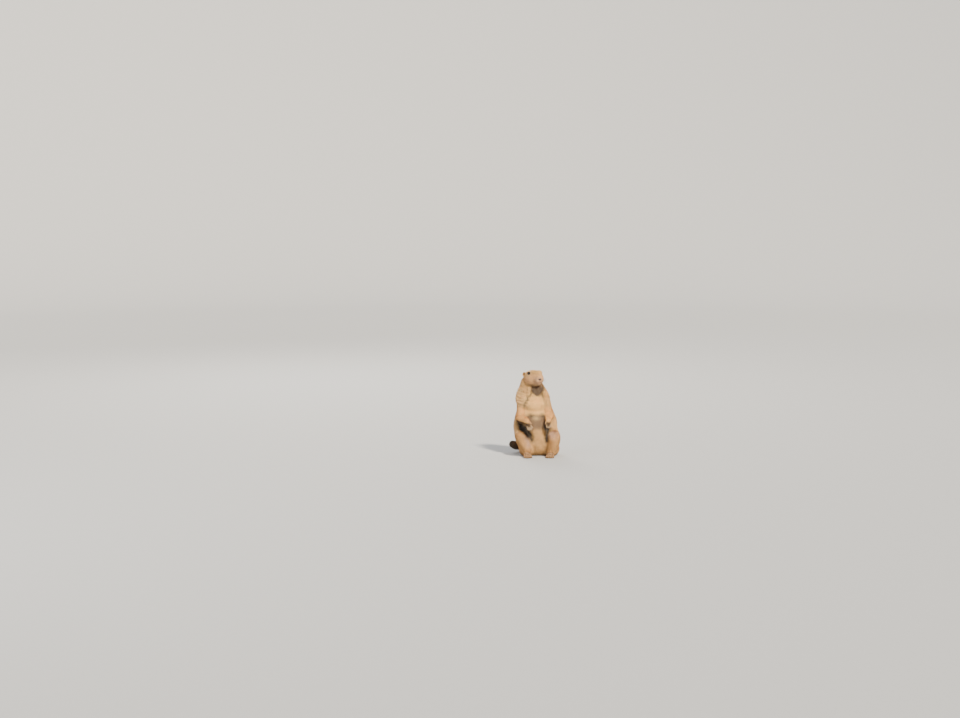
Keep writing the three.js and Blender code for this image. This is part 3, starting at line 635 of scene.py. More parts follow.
@dataclass(frozen=True)
class Body:
    """The whole animal: the parts, how they blend, and the coat's depth and lie over them."""

    trunk: Trunk = Trunk()
    head: Head = Head()
    legs: tuple[Leg, ...] = (RIGHT_LEG, LEFT_LEG)
    arms: tuple[Arm, ...] = (RIGHT_ARM, LEFT_ARM)
    tail: Tail = Tail()
    fold_spacing: float = 10.5
    fold_depth: float = 3.8
    fold_lift: float = 3.2
    socket_gap: float = 0.5
    weight_scale: float = 2.0

    def parts(self, points: Array) -> list[Part]:
        """Every part, as seen from the points."""
        forms = [
            (Region.TRUNK, self.trunk.distance, self.trunk.lie),
            (Region.HEAD, self.head.distance, self.head.lie),
        ]
        for leg in self.legs:
            forms += [(Region.THIGH, leg.thigh_distance, leg.thigh_lie), (Region.FOOT, leg.foot_distance, leg.foot_lie)]
        for arm in self.arms:
            forms += [
                (Region.UPPER_ARM, arm.upper_distance, arm.upper_lie),
                (Region.FOREARM, arm.fore_distance, arm.fore_lie),
                (Region.HAND, arm.hand_distance, arm.hand_lie),
            ]
        forms.append((Region.TAIL, self.tail.distance, self.tail.lie))
        made = []
        for region, distance, lie in forms:
            depth = np.full(len(points), COAT[region].depth)
            if region is Region.HEAD:
                depth = depth * self.head.shortness(points)
            made.append(Part(region, distance(points), depth, lie))
        return made

    def weights(self, parts: list[Part]) -> Array:
        """How much each part counts at each place, falling off with how much farther its skin is."""
        distances = np.stack([part.distance + part.depth for part in parts])
        near = np.exp(-(distances - distances.min(axis=0)) / self.weight_scale)
        return near / near.sum(axis=0)

    def measure(self, name: str, points: Array, parts: list[Part], weights: Array) -> Array:
        """A measure of the coat at each place: depth, length or width."""
        made = np.zeros(len(points))
        for weight, part in zip(weights, parts):
            value = part.depth if name == "depth" else getattr(COAT[part.region], name)
            if part.region is Region.HEAD and name != "depth":
                value = value * self.head.shortness(points) ** 0.8
            made += weight * value
        return made

    def neck_folds(self, points: Array) -> Array:
        """0 on the ridges and 1 in the creases of the loose skin at the right of the neck."""
        x, _, z = points.T
        wave = np.cos((z + 0.20 * x + 5.0 * wander(points, 15.0, 5)) / self.fold_spacing * 2 * np.pi)
        return self.loose_skin(points) * (0.5 + 0.5 * wave) ** 2

    def loose_skin(self, points: Array) -> Array:
        """1 on the loose skin at the right of the neck and over the shoulder, and 0 beyond it."""
        x, y, z = points.T
        return smoothstep(x, -18, -32) * smoothstep(z, 158, 174) * smoothstep(z, 230, 214) * smoothstep(y, 16, -6)

    def creases(self, points: Array) -> Array:
        """How deep the skin is drawn in: the folds and a soft lumpiness of the coat."""
        z = points[:, 2]
        drawn = sum(fold.sunk * fold.near(points) for fold in FOLDS)
        lumps = 0.9 * wander(points * [1, 1, 1.5], 13.0, 3) + 0.5 * wander(points, 6.0, 4) + 0.4
        body = smoothstep(z, 14, 34) * smoothstep(z, 236, 218)
        return drawn + body * np.maximum(lumps, 0.0)

    def skin(self, points: Array) -> Array:
        """The distance to the skin: each part drawn in by its own coat's depth, then joined by their blends."""
        parts = self.parts(points)
        deep: dict[Region, list[Array]] = {}
        for part in parts:
            deep.setdefault(part.region, []).append(part.distance + part.depth)
        total = smooth_min(deep[Region.TRUNK][0], deep[Region.HEAD][0], BLENDS[Region.HEAD])
        total = total + self.creases(points)
        arm_blend = mix(4.0, 12.0, smoothstep(points[:, 2], 132, 168))
        for n in range(2):
            total = smooth_min(total, deep[Region.THIGH][n], BLENDS[Region.THIGH])
            total = smooth_min(total, deep[Region.UPPER_ARM][n], arm_blend)
            for region in (Region.FOREARM, Region.FOOT, Region.HAND):
                total = smooth_min(total, deep[region][n], BLENDS[region])
        total = smooth_min(total, deep[Region.TAIL][0], BLENDS[Region.TAIL])
        total = total + self.fold_depth * self.neck_folds(points) - self.fold_lift * self.loose_skin(points)
        for side in Side:
            away = np.linalg.norm(points - self.head.eye(side), axis=1)
            total = np.maximum(total, self.head.eye_radius + self.socket_gap - away)
        return np.maximum(total, -points[:, 2])

    def slope(self, points: Array, step: float = 0.35) -> tuple[Array, Array]:
        """The skin's distance and its outward direction, from differences over a short step."""
        here = self.skin(points)
        rises = [self.skin(points + step * axis) - here for axis in np.eye(3)]
        return here, unit(np.stack(rises, 1))


# Meshes

def mesh_of(name: str, points: Array, corners: Array, sizes: Array | None = None) -> bpy.types.Object:
    """A piece, linked to the scene at the origin.

    Args:
        name: the piece's name.
        points: the points in millimetres, in rows or in a grid of them.
        corners: the faces' point numbers, all in a row or one row of four for each quad.
        sizes: how many corners each face has, or None where all are quads.

    Returns:
        The object.
    """
    places = points.reshape(-1, 3) * METRES
    sizes = np.full(len(corners), 4) if sizes is None else sizes
    mesh = bpy.data.meshes.new(name)
    mesh.vertices.add(len(places))
    mesh.vertices.foreach_set("co", places.astype(np.float32).reshape(-1))
    mesh.loops.add(corners.size)
    mesh.loops.foreach_set("vertex_index", corners.astype(np.int32).reshape(-1))
    mesh.polygons.add(len(sizes))
    starts = np.concatenate([[0], np.cumsum(sizes)[:-1]]).astype(np.int32)
    mesh.polygons.foreach_set("loop_start", starts)
    mesh.update(calc_edges=True)
    mesh.shade_smooth()
    piece = bpy.data.objects.new(name, mesh)
    bpy.context.scene.collection.objects.link(piece)
    return piece


def grid_faces(rows: int, columns: int, round_columns: bool = False) -> Array:
    """The quads of a grid of points, numbered row by row, joined round in its columns if asked."""
    wide = columns if round_columns else columns - 1
    r, c = np.meshgrid(np.arange(rows - 1), np.arange(wide), indexing="ij")
    after = (c + 1) % columns
    quads = np.stack([r * columns + c, r * columns + after, (r + 1) * columns + after, (r + 1) * columns + c], -1)
    return quads.reshape(-1, 4)


def store(piece: bpy.types.Object, name: str, kind: str, field_name: str, values: Array) -> None:
    """Stores values for each point, as an attribute that a finish reads."""
    layer = piece.data.attributes.new(name, kind, "POINT")
    layer.data.foreach_set(field_name, values.astype(np.float32).reshape(-1))


def paint(piece: bpy.types.Object, colours: Array) -> None:
    """Stores the marking: an opaque colour for each point."""
    flat = colours.reshape(-1, 3)
    store(piece, "marking", "FLOAT_COLOR", "color", np.concatenate([flat, np.ones((len(flat), 1))], 1))


def painted(name: str, points: Array, quads: Array, colours: Array) -> bpy.types.Object:
    """A piece of quads with its marking."""
    piece = mesh_of(name, points, quads)
    paint(piece, colours)
    return piece


def polar(margin: float, rows: int, columns: int) -> list[Array]:
    """The angles of a ball's points: from its pole, in rows, and round it, in columns."""
    about = np.linspace(0, 2 * np.pi, columns, endpoint=False)
    return np.meshgrid(np.linspace(margin, math.pi - margin, rows), about, indexing="ij")


def with_ends(rings: Array) -> Array:
    """A grid of rings as rows, then the mean of the first ring and the mean of the last."""
    return np.concatenate([rings.reshape(-1, 3), rings[0].mean(axis=0)[None], rings[-1].mean(axis=0)[None]])


def outward(points: Array, quads: Array) -> Array:
    """The quads of a closed mesh, turned over together if its volume comes out negative."""
    a, b, c, d = (points[quads[:, n]] for n in range(4))
    volume = (np.cross(b - a, c - a) * a).sum() + (np.cross(c - a, d - a) * a).sum()
    return quads if volume > 0 else quads[:, ::-1]


def ball_of(name: str, rings: Array, colours: Array) -> bpy.types.Object:
    """A painted piece from a grid of rings, closed at either end by a small fan of quads."""
    rows, columns = rings.shape[:2]
    two, base = np.arange(0, columns, 2), (rows - 1) * columns
    start = np.stack([np.full(len(two), rows * columns), (two + 2) % columns, two + 1, two], 1)
    end = np.stack([np.full(len(two), rows * columns + 1), base + two, base + two + 1, base + (two + 2) % columns], 1)
    points = with_ends(rings)
    quads = outward(points, np.concatenate([grid_faces(rows, columns, True), start, end]))
    return painted(name, points, quads, with_ends(colours))


def swept(path: Array, radii: Array, around: int, up: Array, flat: float = 1.0) -> tuple[Array, Array]:
    """A tube along a path that narrows to its end.

    A point is path(u) + radius(u) * (cos v * side + flat * sin v * top), where side is
    perpendicular to the path and to up, and top to both.
    """
    along = unit(np.gradient(path, axis=0))
    side = unit(np.cross(along, up))
    over = unit(np.cross(side, along))
    v = np.linspace(0, 2 * np.pi, around, endpoint=False)
    ring = np.cos(v)[None, :, None] * side[:, None] + flat * np.sin(v)[None, :, None] * over[:, None]
    points = path[:, None] + radii[:, None, None] * ring
    return points.reshape(-1, 3), grid_faces(len(path), around, True)[:, ::-1]


def joined(parts: list[tuple[Array, Array]]) -> tuple[Array, Array]:
    """Several meshes of like faces as one: points stacked, and face numbers moved on."""
    offsets = np.cumsum([0] + [len(points) for points, _ in parts[:-1]])
    points = np.concatenate([points for points, _ in parts])
    faces = np.concatenate([faces + n for (_, faces), n in zip(parts, offsets)])
    return points, faces


# Colours and markings

def linear(red: int, green: int, blue: int) -> Array:
    """A colour as seen on a screen, in the linear values that a shader takes."""
    seen = np.array([red, green, blue]) / 255.0
    return np.where(seen <= 0.04045, seen / 12.92, ((seen + 0.055) / 1.055) ** 2.4)


class Tone(Enum):
    """The coat's colours as they look in daylight, by where they lie on the animal; a few tones are painted shade and
    two are painted highlights.
    """

    BACK = (178, 136, 84)
    FLANK = (226, 180, 118)
    CROWN = (214, 168, 102)
    FACE = (228, 180, 124)
    CHEEK = (228, 176, 122)
    # A rust colour of the cheeks, also used as painted shade in the creases of the loose neck skin.
    RUST = (192, 126, 86)
    MUZZLE = (208, 164, 124)
    # Painted shade under the chin, on the throat and on the lower lip.
    CHIN_SHADE = (98, 76, 58)
    EYE_RING = (214, 180, 134)
    NECK = (222, 176, 112)
    # Painted highlight on the ridges of the loose neck skin, the belly's top and the left of the neck.
    CREAM = (248, 210, 144)
    CHEST = (250, 202, 124)
    BELLY = (132, 104, 80)
    COLUMN = (222, 174, 110)
    # Painted shade at the floor, low on the front and on the thighs.
    BASE = (90, 62, 44)
    # Painted shade in the folds of the front and between fingers and toes.
    BROWN = (46, 38, 34)
    SHOULDER = (226, 164, 96)
    ARM = (250, 192, 114)
    # Painted shade under the forearms.
    UNDER_ARM_SHADE = (76, 52, 34)
    THIGH = (214, 162, 98)
    # Painted highlight along the front ridge of the thighs.
    RIDGE_HIGHLIGHT = (234, 192, 162)
    PAW = (224, 190, 148)
    FOOT = (198, 154, 108)
    TAIL = (186, 142, 90)
    BLACK = (112, 96, 82)

    @property
    def colour(self) -> Array:
        """The tone in linear values."""
        return linear(*self.value)


def over(ground: Array, tone: Tone, mask: Array) -> Array:
    """A ground colour towards a tone, by a mask that is held between 0 and 1."""
    return mix(ground, tone.colour, np.clip(mask, 0, 1)[:, None])


def all_over(tone: Tone, points: Array) -> Array:
    """A tone for every point."""
    return np.broadcast_to(tone.colour, points.shape)


def spot(points: Array, centre: Point, reach: Point) -> Array:
    """1 at a place, falling as a bell of the distance over the reach along each axis."""
    return np.exp(-(((points - np.array(centre)) / np.array(reach)) ** 2).sum(axis=1))


@dataclass(frozen=True)
class Markings:
    """The coat's pattern, the same for skin and tufts: soft masks of place over a ground colour, some of them painted
    shade and painted highlights.
    """

    body: Body

    def trunk(self, points: Array) -> Array:
        """Back to flank to front; cream chest; grey upper belly over a tan column; painted highlights on the belly's
        top and the left of the neck; painted shade on the throat and low on the front at the floor.
        """
        x, y, z = points.T
        front = smoothstep(y, 8, -20)
        made = over(all_over(Tone.BACK, points), Tone.FLANK, smoothstep(y, 42, 4))
        made = over(made, Tone.NECK, smoothstep(z, 150, 176) * smoothstep(y, 34, 2))
        middle = smoothstep(np.abs(x + 4), 66, 38)
        made = over(made, Tone.COLUMN, front * middle)
        grey = smoothstep(z, 88, 106) * smoothstep(z, 146, 134) * smoothstep(np.abs(x + 1), 40, 24)
        made = over(made, Tone.BELLY, 0.9 * front * grey)
        bib = smoothstep(z, 136, 147) * smoothstep(z, 222, 204) * smoothstep(np.abs(x + 6), 44, 30)
        made = over(made, Tone.CHEST, front * bib)
        # Painted highlights: a pale band on the belly's top under the chest, and a streak on the left of the neck.
        made = over(made, Tone.CREAM, 0.8 * front * spot(points, (-4, -36, 131), (8, 40, 6)))
        made = over(made, Tone.CREAM, 0.6 * spot(points, (20, -30, 204), (7, 14, 14)))
        # Painted shade on the throat under the chin, widening upwards.
        half = mix(3.0, 17.0, smoothstep(z, 198, 224))
        made = over(made, Tone.CHIN_SHADE, front * smoothstep(np.abs(x), half + 5, half - 3) * smoothstep(z, 197, 207))
        # Painted shade low on the front, at the floor.
        return over(made, Tone.BASE, front * smoothstep(z, 22, 6))

    def head(self, points: Array) -> Array:
        """Tan crown and face, warmer cheeks, a rust patch behind them, a pale muzzle and painted shade on the chin."""
        head = self.body.head
        local = head.axes.local(points)
        ahead, up = local[:, 0], local[:, 2]
        sides = np.abs(local) * [0, 1, 0] + local * [1, 0, 1]
        made = over(all_over(Tone.CROWN, points), Tone.FACE, smoothstep(up, 4, -8) * smoothstep(ahead, -16, 4))
        made = over(made, Tone.CHEEK, spot(sides, (0, 18, -20), (15, 14, 9)))
        made = over(made, Tone.RUST, 0.55 * spot(sides, (-15, 20, -17), (8, 9, 7)))
        made = over(made, Tone.RUST, 0.30 * spot(sides, (7, 14, -12), (6, 7, 3)))
        made = over(made, Tone.MUZZLE, smoothstep(ahead, 14, 24) * smoothstep(up, -7, -13))
        made = over(made, Tone.MUZZLE, 0.8 * spot(sides, (15, 9, -25), (9, 7, 5)))
        # Painted shade under the mouth, on the chin.
        made = over(made, Tone.CHIN_SHADE, 0.5 * smoothstep(up, -28, -32) * smoothstep(ahead, -12, 6))
        for side in Side:
            away = np.linalg.norm(points - head.eye(side) - head.eye_axis(side) * 3, axis=1)
            made = over(made, Tone.EYE_RING, 0.7 * smoothstep(away, 12.0, 8.5))
        return made

    def thigh(self, points: Array) -> Array:
        """Ochre, towards the flank's tone behind, with a pinkish painted highlight down the front ridge, and painted
        shade at the floor.
        """
        x, y, z = points.T
        made = over(all_over(Tone.THIGH, points), Tone.FLANK, smoothstep(y, 4, 30))
        # Painted highlight along the front ridge of each thigh.
        right = np.exp(-(((x + 34 - (74 - z) * 0.2) / 8) ** 2))
        left = np.exp(-(((x - 48) / 14) ** 2)) * smoothstep(z, 56, 74)
        made = over(made, Tone.RIDGE_HIGHLIGHT, 0.75 * (right + left) * smoothstep(y, -12, -30) * smoothstep(z, 26, 46))
        # Painted shade at the floor.
        return over(made, Tone.BASE, 0.7 * smoothstep(z, 20, 6))

    def arm(self, points: Array) -> Array:
        """Pale shoulders, a warm tan arm that is lighter towards the wrist, and painted shade under the forearm."""
        made = over(all_over(Tone.SHOULDER, points), Tone.ARM, smoothstep(points[:, 1], -18, -34))
        made = over(made, Tone.NECK, smoothstep(points[:, 2], 152, 176))
        _, _, z = points.T
        # Painted shade under each forearm, on its own side.
        for arm in self.body.arms:
            t, _ = along_line(points, arm.elbow, arm.wrist)
            below = mix(arm.elbow[2], arm.wrist[2], t) - z
            under = (np.sign(points[:, 0]) == arm.side.value) * smoothstep(below, 1, 10) * smoothstep(z, 130, 118)
            made = over(made, Tone.UNDER_ARM_SHADE, 1.3 * under)
        return made

    def colours(self, points: Array, parts: list[Part], weights: Array) -> Array:
        """The colour of the coat at each point.

        Each part takes its own colours, weighed by how near the part is. Painted shade goes
        between the digits, in the creases of the loose neck skin and along the folds over all
        but the limbs' ends, with painted highlights on the neck skin's ridges; two noises of
        place make it uneven.
        """
        arm, trunk = self.arm(points), self.trunk(points)
        hand = over(all_over(Tone.PAW, points), Tone.ARM, 0.5 * smoothstep(points[:, 2], 100, 116))
        foot = all_over(Tone.FOOT, points)
        # Painted shade between the fingers and between the toes.
        for fore, hind in zip(self.body.arms, self.body.legs):
            hand = over(hand, Tone.BROWN, 0.75 * between_digits(fore.fingers(), fore.finger_radius, points))
            foot = over(foot, Tone.BROWN, 0.70 * between_digits(hind.toes(), hind.toe_radius, points))
        brush = smoothstep(self.body.tail.along(points) + 0.35 * wander(points, 3.0, 9), 1.9, 2.7)
        tail = over(all_over(Tone.TAIL, points), Tone.BLACK, brush)
        grounds = {
            Region.TRUNK: trunk, Region.HEAD: self.head(points), Region.THIGH: self.thigh(points),
            Region.FOOT: foot, Region.UPPER_ARM: arm, Region.FOREARM: arm,
            Region.HAND: hand, Region.TAIL: tail,
        }
        made = sum(w[:, None] * grounds[part.region] for w, part in zip(weights, parts))
        # Painted highlights on the ridges of the loose neck skin, and painted shade in its creases.
        creases = self.body.neck_folds(points)
        made = over(made, Tone.CREAM, 0.85 * self.body.loose_skin(points) * (1 - creases))
        made = over(made, Tone.RUST, 0.7 * creases)
        # Painted shade along the folds of the front.
        bare = sum(w for w, part in zip(weights, parts) if part.region in FOLDED)
        for fold in FOLDS:
            made = over(made, Tone.BROWN, 1.6 * fold.shade * fold.near(points) * bare)
        mottle = 1.0 + 0.09 * wander(points, 9.0, 11) + 0.07 * wander(points, 4.0, 12)
        return made * mottle[:, None]


FOLDED = (Region.TRUNK, Region.THIGH, Region.HEAD)


# Finishes

class Nodes:
    """A node tree being built: it adds nodes, sets their values and joins their sockets."""

    def __init__(self, tree: bpy.types.NodeTree) -> None:
        """Starts on a tree, which is emptied."""
        self.tree = tree
        tree.nodes.clear()

    def add(self, kind: str, values: dict | None = None, **settings: object) -> bpy.types.Node:
        """A node of a kind, its settings as given, and its inputs set or joined by name or number."""
        node = self.tree.nodes.new(kind)
        for name, value in settings.items():
            setattr(node, name, value)
        for name, value in (values or {}).items():
            if isinstance(value, bpy.types.NodeSocket):
                self.tree.links.new(value, node.inputs[name])
            else:
                node.inputs[name].default_value = value
        return node

    def math(self, operation: str, *values: object) -> bpy.types.NodeSocket:
        """The result of a sum of one kind on one to three values."""
        node = self.add("ShaderNodeMath", dict(enumerate(values)), operation=operation)
        return node.outputs[0]

    def blend(self, share: object, first: object, second: object, kind: str = "MIX") -> bpy.types.NodeSocket:
        """The first colour towards, or multiplied by, the second, by a share."""
        node = self.add("ShaderNodeMix", {0: share, 6: first, 7: second}, data_type="RGBA", blend_type=kind)
        return node.outputs[2]

    def times(self, first: object, second: object) -> bpy.types.NodeSocket:
        """The product of two colours."""
        return self.blend(1.0, first, second, "MULTIPLY")

    def spread(self, value: object, low: float, high: float, *to: float) -> bpy.types.NodeSocket:
        """A value between low and high taken smoothly to 0 and 1, or to another pair of values."""
        to_low, to_high = to or (0.0, 1.0)
        node = self.add(
            "ShaderNodeMapRange", {0: value, 1: low, 2: high, 3: to_low, 4: to_high},
            interpolation_type="SMOOTHSTEP",
        )
        return node.outputs[0]

    def noise(self, vector: object, scale: object, detail: float, **values: float) -> bpy.types.NodeSocket:
        """A noise of place, by its scale and its detail."""
        given = {"Vector": vector, "Scale": scale, "Detail": detail, **values}
        return self.add("ShaderNodeTexNoise", given).outputs["Fac"]

    def place(self) -> bpy.types.NodeSocket:
        """The place on the piece, in its own coordinates."""
        return self.add("ShaderNodeTexCoord").outputs["Object"]

    def attribute(self, name: str, output: str = "Color") -> bpy.types.NodeSocket:
        """What a piece's attribute holds."""
        return self.add("ShaderNodeAttribute", attribute_name=name).outputs[output]

    def shared(self, tree: bpy.types.NodeTree, values: dict) -> bpy.types.NodeOutputs:
        """What a shared node group makes of the given values."""
        return self.add("ShaderNodeGroup", values, node_tree=tree).outputs

    def bump(self, height: object, strength: float, distance: float) -> bpy.types.NodeSocket:
        """The normal of a surface raised by a height."""
        return self.add("ShaderNodeBump", {"Height": height, "Strength": strength, "Distance": distance}).outputs[0]


def group(name: str, inputs: dict[str, str], outputs: dict[str, str]) -> tuple[bpy.types.NodeTree, Nodes]:
    """An empty node group with named sockets: its tree, and the nodes being built in it."""
    tree = bpy.data.node_groups.new(name, "ShaderNodeTree")
    for way, sockets in (("INPUT", inputs), ("OUTPUT", outputs)):
        for label, kind in sockets.items():
            tree.interface.new_socket(label, in_out=way, socket_type=kind)
    return tree, Nodes(tree)


FLOAT, COLOUR, VECTOR = "NodeSocketFloat", "NodeSocketColor", "NodeSocketVector"


def strand_group() -> bpy.types.NodeTree:
    """A hair's colour along its length: shaded at the root, light past the middle, and some tipped with black."""
    inputs = {"Colour": COLOUR, "Along": FLOAT, "Chance": FLOAT, "Root": FLOAT, "Tip": FLOAT, "Ticking": FLOAT}
    tree, nodes = group("strand", inputs, {"Colour": COLOUR})
    given = nodes.add("NodeGroupInput").outputs
    root = nodes.math("MULTIPLY", nodes.spread(given["Along"], 0.55, 0.0), given["Root"])
    deep = nodes.blend(1.0, given["Colour"], (0.30, 0.24, 0.19, 1), "MULTIPLY")
    shaded = nodes.blend(root, given["Colour"], deep)
    light = nodes.math("MULTIPLY", nodes.spread(given["Along"], 0.5, 1.0), given["Tip"])
    lit = nodes.blend(light, shaded, (0.86, 0.70, 0.48, 1))
    ticked = nodes.math("LESS_THAN", given["Chance"], given["Ticking"])
    dark = nodes.math("MULTIPLY", ticked, nodes.spread(given["Along"], 0.25, 0.7, 0.15, 0.80))
    out = nodes.blend(dark, lit, (0.030, 0.022, 0.016, 1))
    nodes.add("NodeGroupOutput", {"Colour": out})
    return tree


def mottle_group() -> bpy.types.NodeTree:
    """Uneven light and dark over a coat: two noises of place, as a factor about 1 and a height."""
    inputs = {"Vector": VECTOR, "Size": FLOAT, "Amount": FLOAT}
    tree, nodes = group("mottle", inputs, {"Shade": FLOAT, "Height": FLOAT})
    given = nodes.add("NodeGroupInput").outputs
    noise = nodes.noise(given["Vector"], given["Size"], 4.0, Roughness=0.65)
    centred = nodes.math("MULTIPLY", nodes.math("SUBTRACT", noise, 0.5), given["Amount"])
    nodes.add("NodeGroupOutput", {"Shade": nodes.math("ADD", centred, 1.0), "Height": noise})
    return tree


def short_fur_group() -> bpy.types.NodeTree:
    """Short flat hair as a height and a shade: noise drawn out along the body's length, crossed by a finer one."""
    tree, nodes = group("short_fur", {"Vector": VECTOR, "Size": FLOAT}, {"Height": FLOAT, "Shade": FLOAT})
    given = nodes.add("NodeGroupInput").outputs
    long_way = nodes.add("ShaderNodeMapping", {"Vector": given["Vector"], "Scale": (1.0, 1.0, 0.22)}).outputs[0]
    hairs = nodes.noise(long_way, given["Size"], 3.0, Roughness=0.6)
    fine = nodes.noise(given["Vector"], nodes.math("MULTIPLY", given["Size"], 0.6), 2.0)
    height = nodes.math("ADD", nodes.math("MULTIPLY", hairs, 0.75), nodes.math("MULTIPLY", fine, 0.25))
    nodes.add("NodeGroupOutput", {"Height": height, "Shade": nodes.spread(height, 0.32, 0.68, 0.72, 1.18)})
    return tree


@dataclass(frozen=True)
class Groups:
    """The node groups that several finishes share, each built once."""

    strand: bpy.types.NodeTree
    mottle: bpy.types.NodeTree
    short_fur: bpy.types.NodeTree


@dataclass(frozen=True)
class Finish:
    """A material: one shader, whose inputs each kind of finish gives."""

    name: str

    def build(self, groups: Groups) -> bpy.types.Material:
        """The material."""
        material = bpy.data.materials.new(self.name)
        material.use_nodes = True
        nodes = Nodes(material.node_tree)
        shader = nodes.add("ShaderNodeBsdfPrincipled", self.surface(nodes, groups))
        nodes.add("ShaderNodeOutputMaterial", {0: shader.outputs[0]})
        return material

    def surface(self, nodes: Nodes, groups: Groups) -> dict[str, object]:
        """The shader's inputs by name: here the bare marking."""
        return {"Base Color": nodes.attribute("marking")}


@dataclass(frozen=True)
class HairFinish(Finish):
    """The coat's tufts: the marking's colour, shaded along each hair."""

    root: float = 0.70
    tip: float = 0.10
    ticking: float = 0.05
    roughness: float = 0.62
    sheen: float = 0.10

    def surface(self, nodes: Nodes, groups: Groups) -> dict[str, object]:
        """The strand's colour, mottled over the coat, with a warm sheen."""
        hair = nodes.add("ShaderNodeSeparateXYZ", {0: nodes.attribute("hair", "Vector")}).outputs
        strand = nodes.shared(groups.strand, {
            "Colour": nodes.attribute("marking"), "Along": hair[0], "Chance": hair[1],
            "Root": self.root, "Tip": self.tip, "Ticking": self.ticking,
        })
        mottle = nodes.shared(groups.mottle, {"Vector": nodes.place(), "Size": 420.0, "Amount": 0.45})
        return {
            "Base Color": nodes.times(strand[0], mottle["Shade"]),
            "Roughness": nodes.spread(mottle["Height"], 0.3, 0.7, self.roughness - 0.08, self.roughness + 0.1),
            "Sheen Weight": self.sheen,
            "Sheen Roughness": 0.45,
            "Sheen Tint": (1.0, 0.93, 0.82, 1),
            "Specular IOR Level": 0.3,
        }


@dataclass(frozen=True)
class ShortFurFinish(Finish):
    """The skin under the coat, and short flat hair on lids, ears and lips."""

    size: float = 900.0
    bump: float = 0.5
    shade: float = 0.86

    def surface(self, nodes: Nodes, groups: Groups) -> dict[str, object]:
        """The marking under short flat hair, which shades and raises it."""
        fur = nodes.shared(groups.short_fur, {"Vector": nodes.place(), "Size": self.size})
        colour = nodes.times(nodes.attribute("marking"), fur["Shade"])
        return {
            "Base Color": nodes.times(colour, (self.shade, self.shade, self.shade, 1)),
            "Roughness": nodes.spread(fur["Height"], 0.3, 0.7, 0.72, 0.88),
            "Normal": nodes.bump(fur["Height"], self.bump, 0.0006),
            "Sheen Weight": 0.1,
            "Sheen Roughness": 0.5,
            "Specular IOR Level": 0.25,
        }


@dataclass(frozen=True)
class EyeFinish(Finish):
    """A wet, nearly black eye: its painted iris under a clear coat."""

    streaks: float = 2600.0

    def surface(self, nodes: Nodes, groups: Groups) -> dict[str, object]:
        """The marking, finely streaked, smooth and coated."""
        tint = nodes.spread(nodes.noise(nodes.place(), self.streaks, 3.0), 0.3, 0.7, 0.7, 1.3)
        return {
            "Base Color": nodes.times(nodes.attribute("marking"), tint),
            "Roughness": 0.16,
            "Specular IOR Level": 0.25,
            "Coat Weight": 0.5,
            "Coat Roughness": 0.03,
        }


@dataclass(frozen=True)
class BareFinish(Finish):
    """Bare, dark or horny skin: the nose's pebbled leather, and the claws' horn."""

    roughness: float = 0.42
    pebble: float = 1500.0
    bump: float = 0.35
    coat: float = 0.15

    def surface(self, nodes: Nodes, groups: Groups) -> dict[str, object]:
        """The mottled marking, raised in small cells and thinly coated."""
        place = nodes.place()
        cells = nodes.add("ShaderNodeTexVoronoi", {"Vector": place, "Scale": self.pebble}).outputs["Distance"]
        mottle = nodes.shared(groups.mottle, {"Vector": place, "Size": 700.0, "Amount": 0.8})
        return {
            "Base Color": nodes.times(nodes.attribute("marking"), mottle["Shade"]),
            "Roughness": nodes.spread(mottle["Height"], 0.3, 0.7, self.roughness - 0.08, self.roughness + 0.12),
            "Normal": nodes.bump(cells, self.bump, 0.0003),
            "Coat Weight": self.coat,
            "Coat Roughness": 0.2,
        }


@dataclass(frozen=True)
class StageFinish(Finish):
    """The studio's plain pale floor."""

    tone: tuple[float, ...] = (0.50, 0.505, 0.505, 1)

    def surface(self, nodes: Nodes, groups: Groups) -> dict[str, object]:
        """The pale tone, very faintly mottled."""
        mottle = nodes.shared(groups.mottle, {"Vector": nodes.place(), "Size": 40.0, "Amount": 0.04})
        return {"Base Color": nodes.times(self.tone, mottle["Shade"]), "Roughness": 0.85}


# The skin

